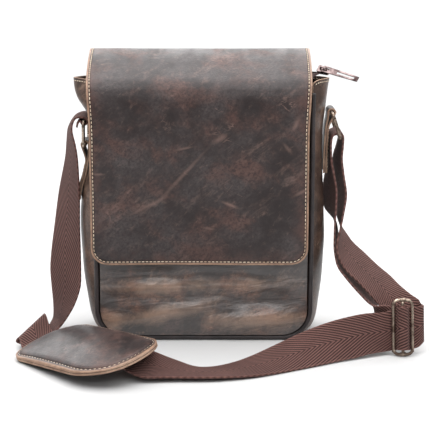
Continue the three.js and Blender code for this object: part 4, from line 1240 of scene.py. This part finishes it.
STRAP_ROWS = [
    # Sewn end inside the arch, then round the left ring and over the arch
    ((-119.2, -20, 205.4), (-122.6, 20, 204.6)), ((-118.4, -20, 208.8), (-119.8, 20, 208.6)),
    flat(-116.2, 211.6), *wrap_rows(SIDES["left"].bar, (-120, -70, -20, 30, 80)), flat(-116.6, 215.2),
    ((-120.6, -20, 214), (-123, 20, 212.6)), ((-123.6, -20, 208), (-128, 20, 206.5)),
    ((-124, -20, 201), (-131.4, 20, 199)),
    # Hanging down the left side, turning its outer face to the front
    ((-121.4, -20, 189), (-133, 20, 186)), ((-119.6, -20, 177), (-134.4, 20, 172)),
    ((-118.4, -18, 143), (-141.4, 18, 137)), ((-118.8, -18, 112), (-146, 15, 105)),
    ((-118.2, -21, 83), (-149.6, 9, 76)), ((-117.8, -25, 67), (-150.4, 5, 61)),
    ((-118.2, -30, 52), (-149, 0, 46)), ((-123.4, -34, 35.8), (-147.6, -2, 31)),
    ((-129.4, -36, 25), (-147.4, -1, 19.5)), ((-138, -33, 12.6), (-149, 4, 10)),
    ((-152, -42.6, 2.2), (-151.6, -4, 6.6)),
    # Folded over on the floor
    ((-170, -59.5, 3), (-153.4, -16, 12.4)), ((-176.6, -62.5, 6.2), (-156.6, -18, 17.6)),
    ((-174.4, -63.6, 9.6), (-154.4, -20, 21.2)), ((-168, -77, 3.2), (-145.4, -41, 10.4)),
    # Under the shoulder pad
    run_row(-46), run_row(-20), run_row(8), run_row(36),
    # Along the floor to the buckle, rising on its lower edge
    ((-52.6, -165.9, 6), (-40.9, -129.2, 16.6)), ((-31.5, -164.7, 5.2), (-21.1, -126, 7.4)),
    ((-11.3, -164, 4.8), (-5.8, -124.5, 1.6)), ((9.8, -163.2, 4.5), (8.8, -124.6, 1.2)),
    ((34.5, -157.7, 3.4), (28.8, -118.2, 3.2)), ((54.2, -149.8, 2.2), (45.4, -111, 7)),
    ((84.6, -132.6, 1.3), (73.5, -97.1, 16)), ((106.3, -119.7, 1.3), (96.2, -88.5, 24.2)),
    ((127.5, -106.9, 1.4), (118.1, -81.2, 30.5)), ((142, -99.9, 2), (135.2, -77.1, 34.2)),
    ((156, -93, 3.4), (151.8, -73.1, 36.6)), buckle_row(-15, 2.2, -22.5, 14.5),
    buckle_row(-8.8, 3.3, -21.5, 17), buckle_row(-5.3, 0.4, -21.3, 19), buckle_row(-3.2, -4.2, -21.3, 19),
    buckle_row(0, -5.6, -21.3, 19), buckle_row(3.2, -4.2, -21.3, 19), buckle_row(5.3, 0.4, -21.3, 19),
    buckle_row(8.8, 3.3, -20.5, 19.5), buckle_row(15, 3.2, -18.5, 19.5),
    # Folded back behind the buckle and up to the right ring
    buckle_row(19, 4.6, -14.5, 19.8), buckle_row(20, 7, -13, 20.5), buckle_row(18.4, 9.2, -13.5, 22),
    ((186.9, -73, 13), (204.8, -66, 48.2)), ((176.8, -67.8, 26.6), (198.6, -56, 50.8)),
    ((168.8, -60.8, 40.2), (190, -42, 55.6)), ((159.4, -53.2, 50.4), (181.6, -27, 61.8)),
    ((149.4, -46.8, 60.3), (170.4, -14, 69.2)), ((137.8, -39.4, 70.6), (158.2, -5.5, 79.8)),
    ((131.8, -32.4, 80.4), (148.1, 4, 87.8)), ((129.8, -28, 91.5), (141.2, 11, 96.6)),
    ((133.4, -23, 107.2), (137.7, 16.5, 101.4)), ((136.5, -20.5, 122.7), (133.2, 19.5, 115.5)),
    ((138.7, -20, 140.1), (131.9, 20, 135.2)), ((135.7, -20, 160.6), (129.8, 20, 155.3)),
    ((133.9, -20, 176.1), (129, 20, 170.9)), ((134.6, -20, 186), (132.4, 20, 184)),
    *wrap_rows(SIDES["right"].bar, (10, 50, 90)),
    # Over the ring and down its inner side to the buckle's middle bar
    flat(127.4, 198.8), flat(124.7, 197.2), flat(123.5, 192.4), ((123.3, -20, 184), (123.2, 20, 180)),
    ((124.2, -20, 172), (123.6, 20, 165)), ((127, -20.5, 158), (120.6, 19, 149.5)),
    ((129.2, -21, 144), (119.6, 18.2, 137)), ((129, -22, 128), (121.3, 17, 121)),
    ((128, -23, 112.4), (131.5, 15.6, 107.5)), ((127.6, -24.6, 97), (134.5, 13, 94)),
    ((127.8, -26, 87), (136, 11, 85)), ((130.8, -34, 72.6), (139, 2.5, 72.5)),
    ((138.6, -42, 62.6), (145.5, -7.5, 62.5)), ((150.8, -50, 49.6), (160.5, -18, 51)),
    ((160, -58, 42), (169, -31, 37)), ((165.6, -67, 42.6), (167, -44, 11)),
    ((171.5, -69, 44), (173, -62, 8)), turned(buckle_row(-8.8, 6.8)), turned(buckle_row(-3.6, 4.4)),
    *bar_rows((80, 35, -10, -55, -100, -145, 175)),
    turned(buckle_row(-4.2, 2)),
]


def strap():
    near, far = [Route(edge, knot_power=0.5) for edge in zip(*STRAP_ROWS)]
    steps = 24
    rows = [i / steps for i in range(near.rows * steps + 1)]
    lengths = walk([(near.at_row(row) + far.at_row(row)) / 2 for row in rows])

    def surface(u, v):
        span, share = find_span(lengths, v * lengths[-1])
        row = (span + share) / steps
        return near.at_row(row).lerp(far.at_row(row), u)

    bm = bent_grid(surface, columns=12, rows=1000, size=(WEBBING.width, lengths[-1]))
    piece = make_piece(bm, "strap", [WEBBING_CLOTH] * 3)
    thicken(piece, WEBBING.thickness, rounding=0.5)


strap()


# Light and floor
def add_softbox(name, place, aim, size, power):
    lamp = bpy.data.lights.new(name, "AREA")
    lamp.shape = "RECTANGLE"
    lamp.size, lamp.size_y = size
    lamp.energy = power
    box = new_object(name, lamp)
    box.location = place
    box.rotation_euler = (Vector(aim) - Vector(place)).to_track_quat("-Z", "Y").to_euler()


def add_studio():
    bm = bmesh.new()
    bmesh.ops.create_grid(bm, x_segments=1, y_segments=1, size=FLOOR_SIZE)
    mesh = bpy.data.meshes.new("floor")
    bm.to_mesh(mesh)
    bm.free()
    paint = {"Base Color": (*[FLOOR_TONE] * 3, 1), "Roughness": 0.9, "Specular IOR Level": 0.1}
    mesh.materials.append(Finish("pale_floor").done(paint))
    floor = new_object("floor", mesh)
    world = bpy.data.worlds.new("studio")
    world.use_nodes = True
    sky = world.node_tree.nodes["Background"]
    sky.inputs["Color"].default_value = (1, 1, 1, 1)
    sky.inputs["Strength"].default_value = SKY_STRENGTH
    bpy.context.scene.world = world
    bpy.context.scene.view_settings.view_transform = "Standard"
    for softbox in SOFTBOXES:
        add_softbox(*softbox)


add_studio()
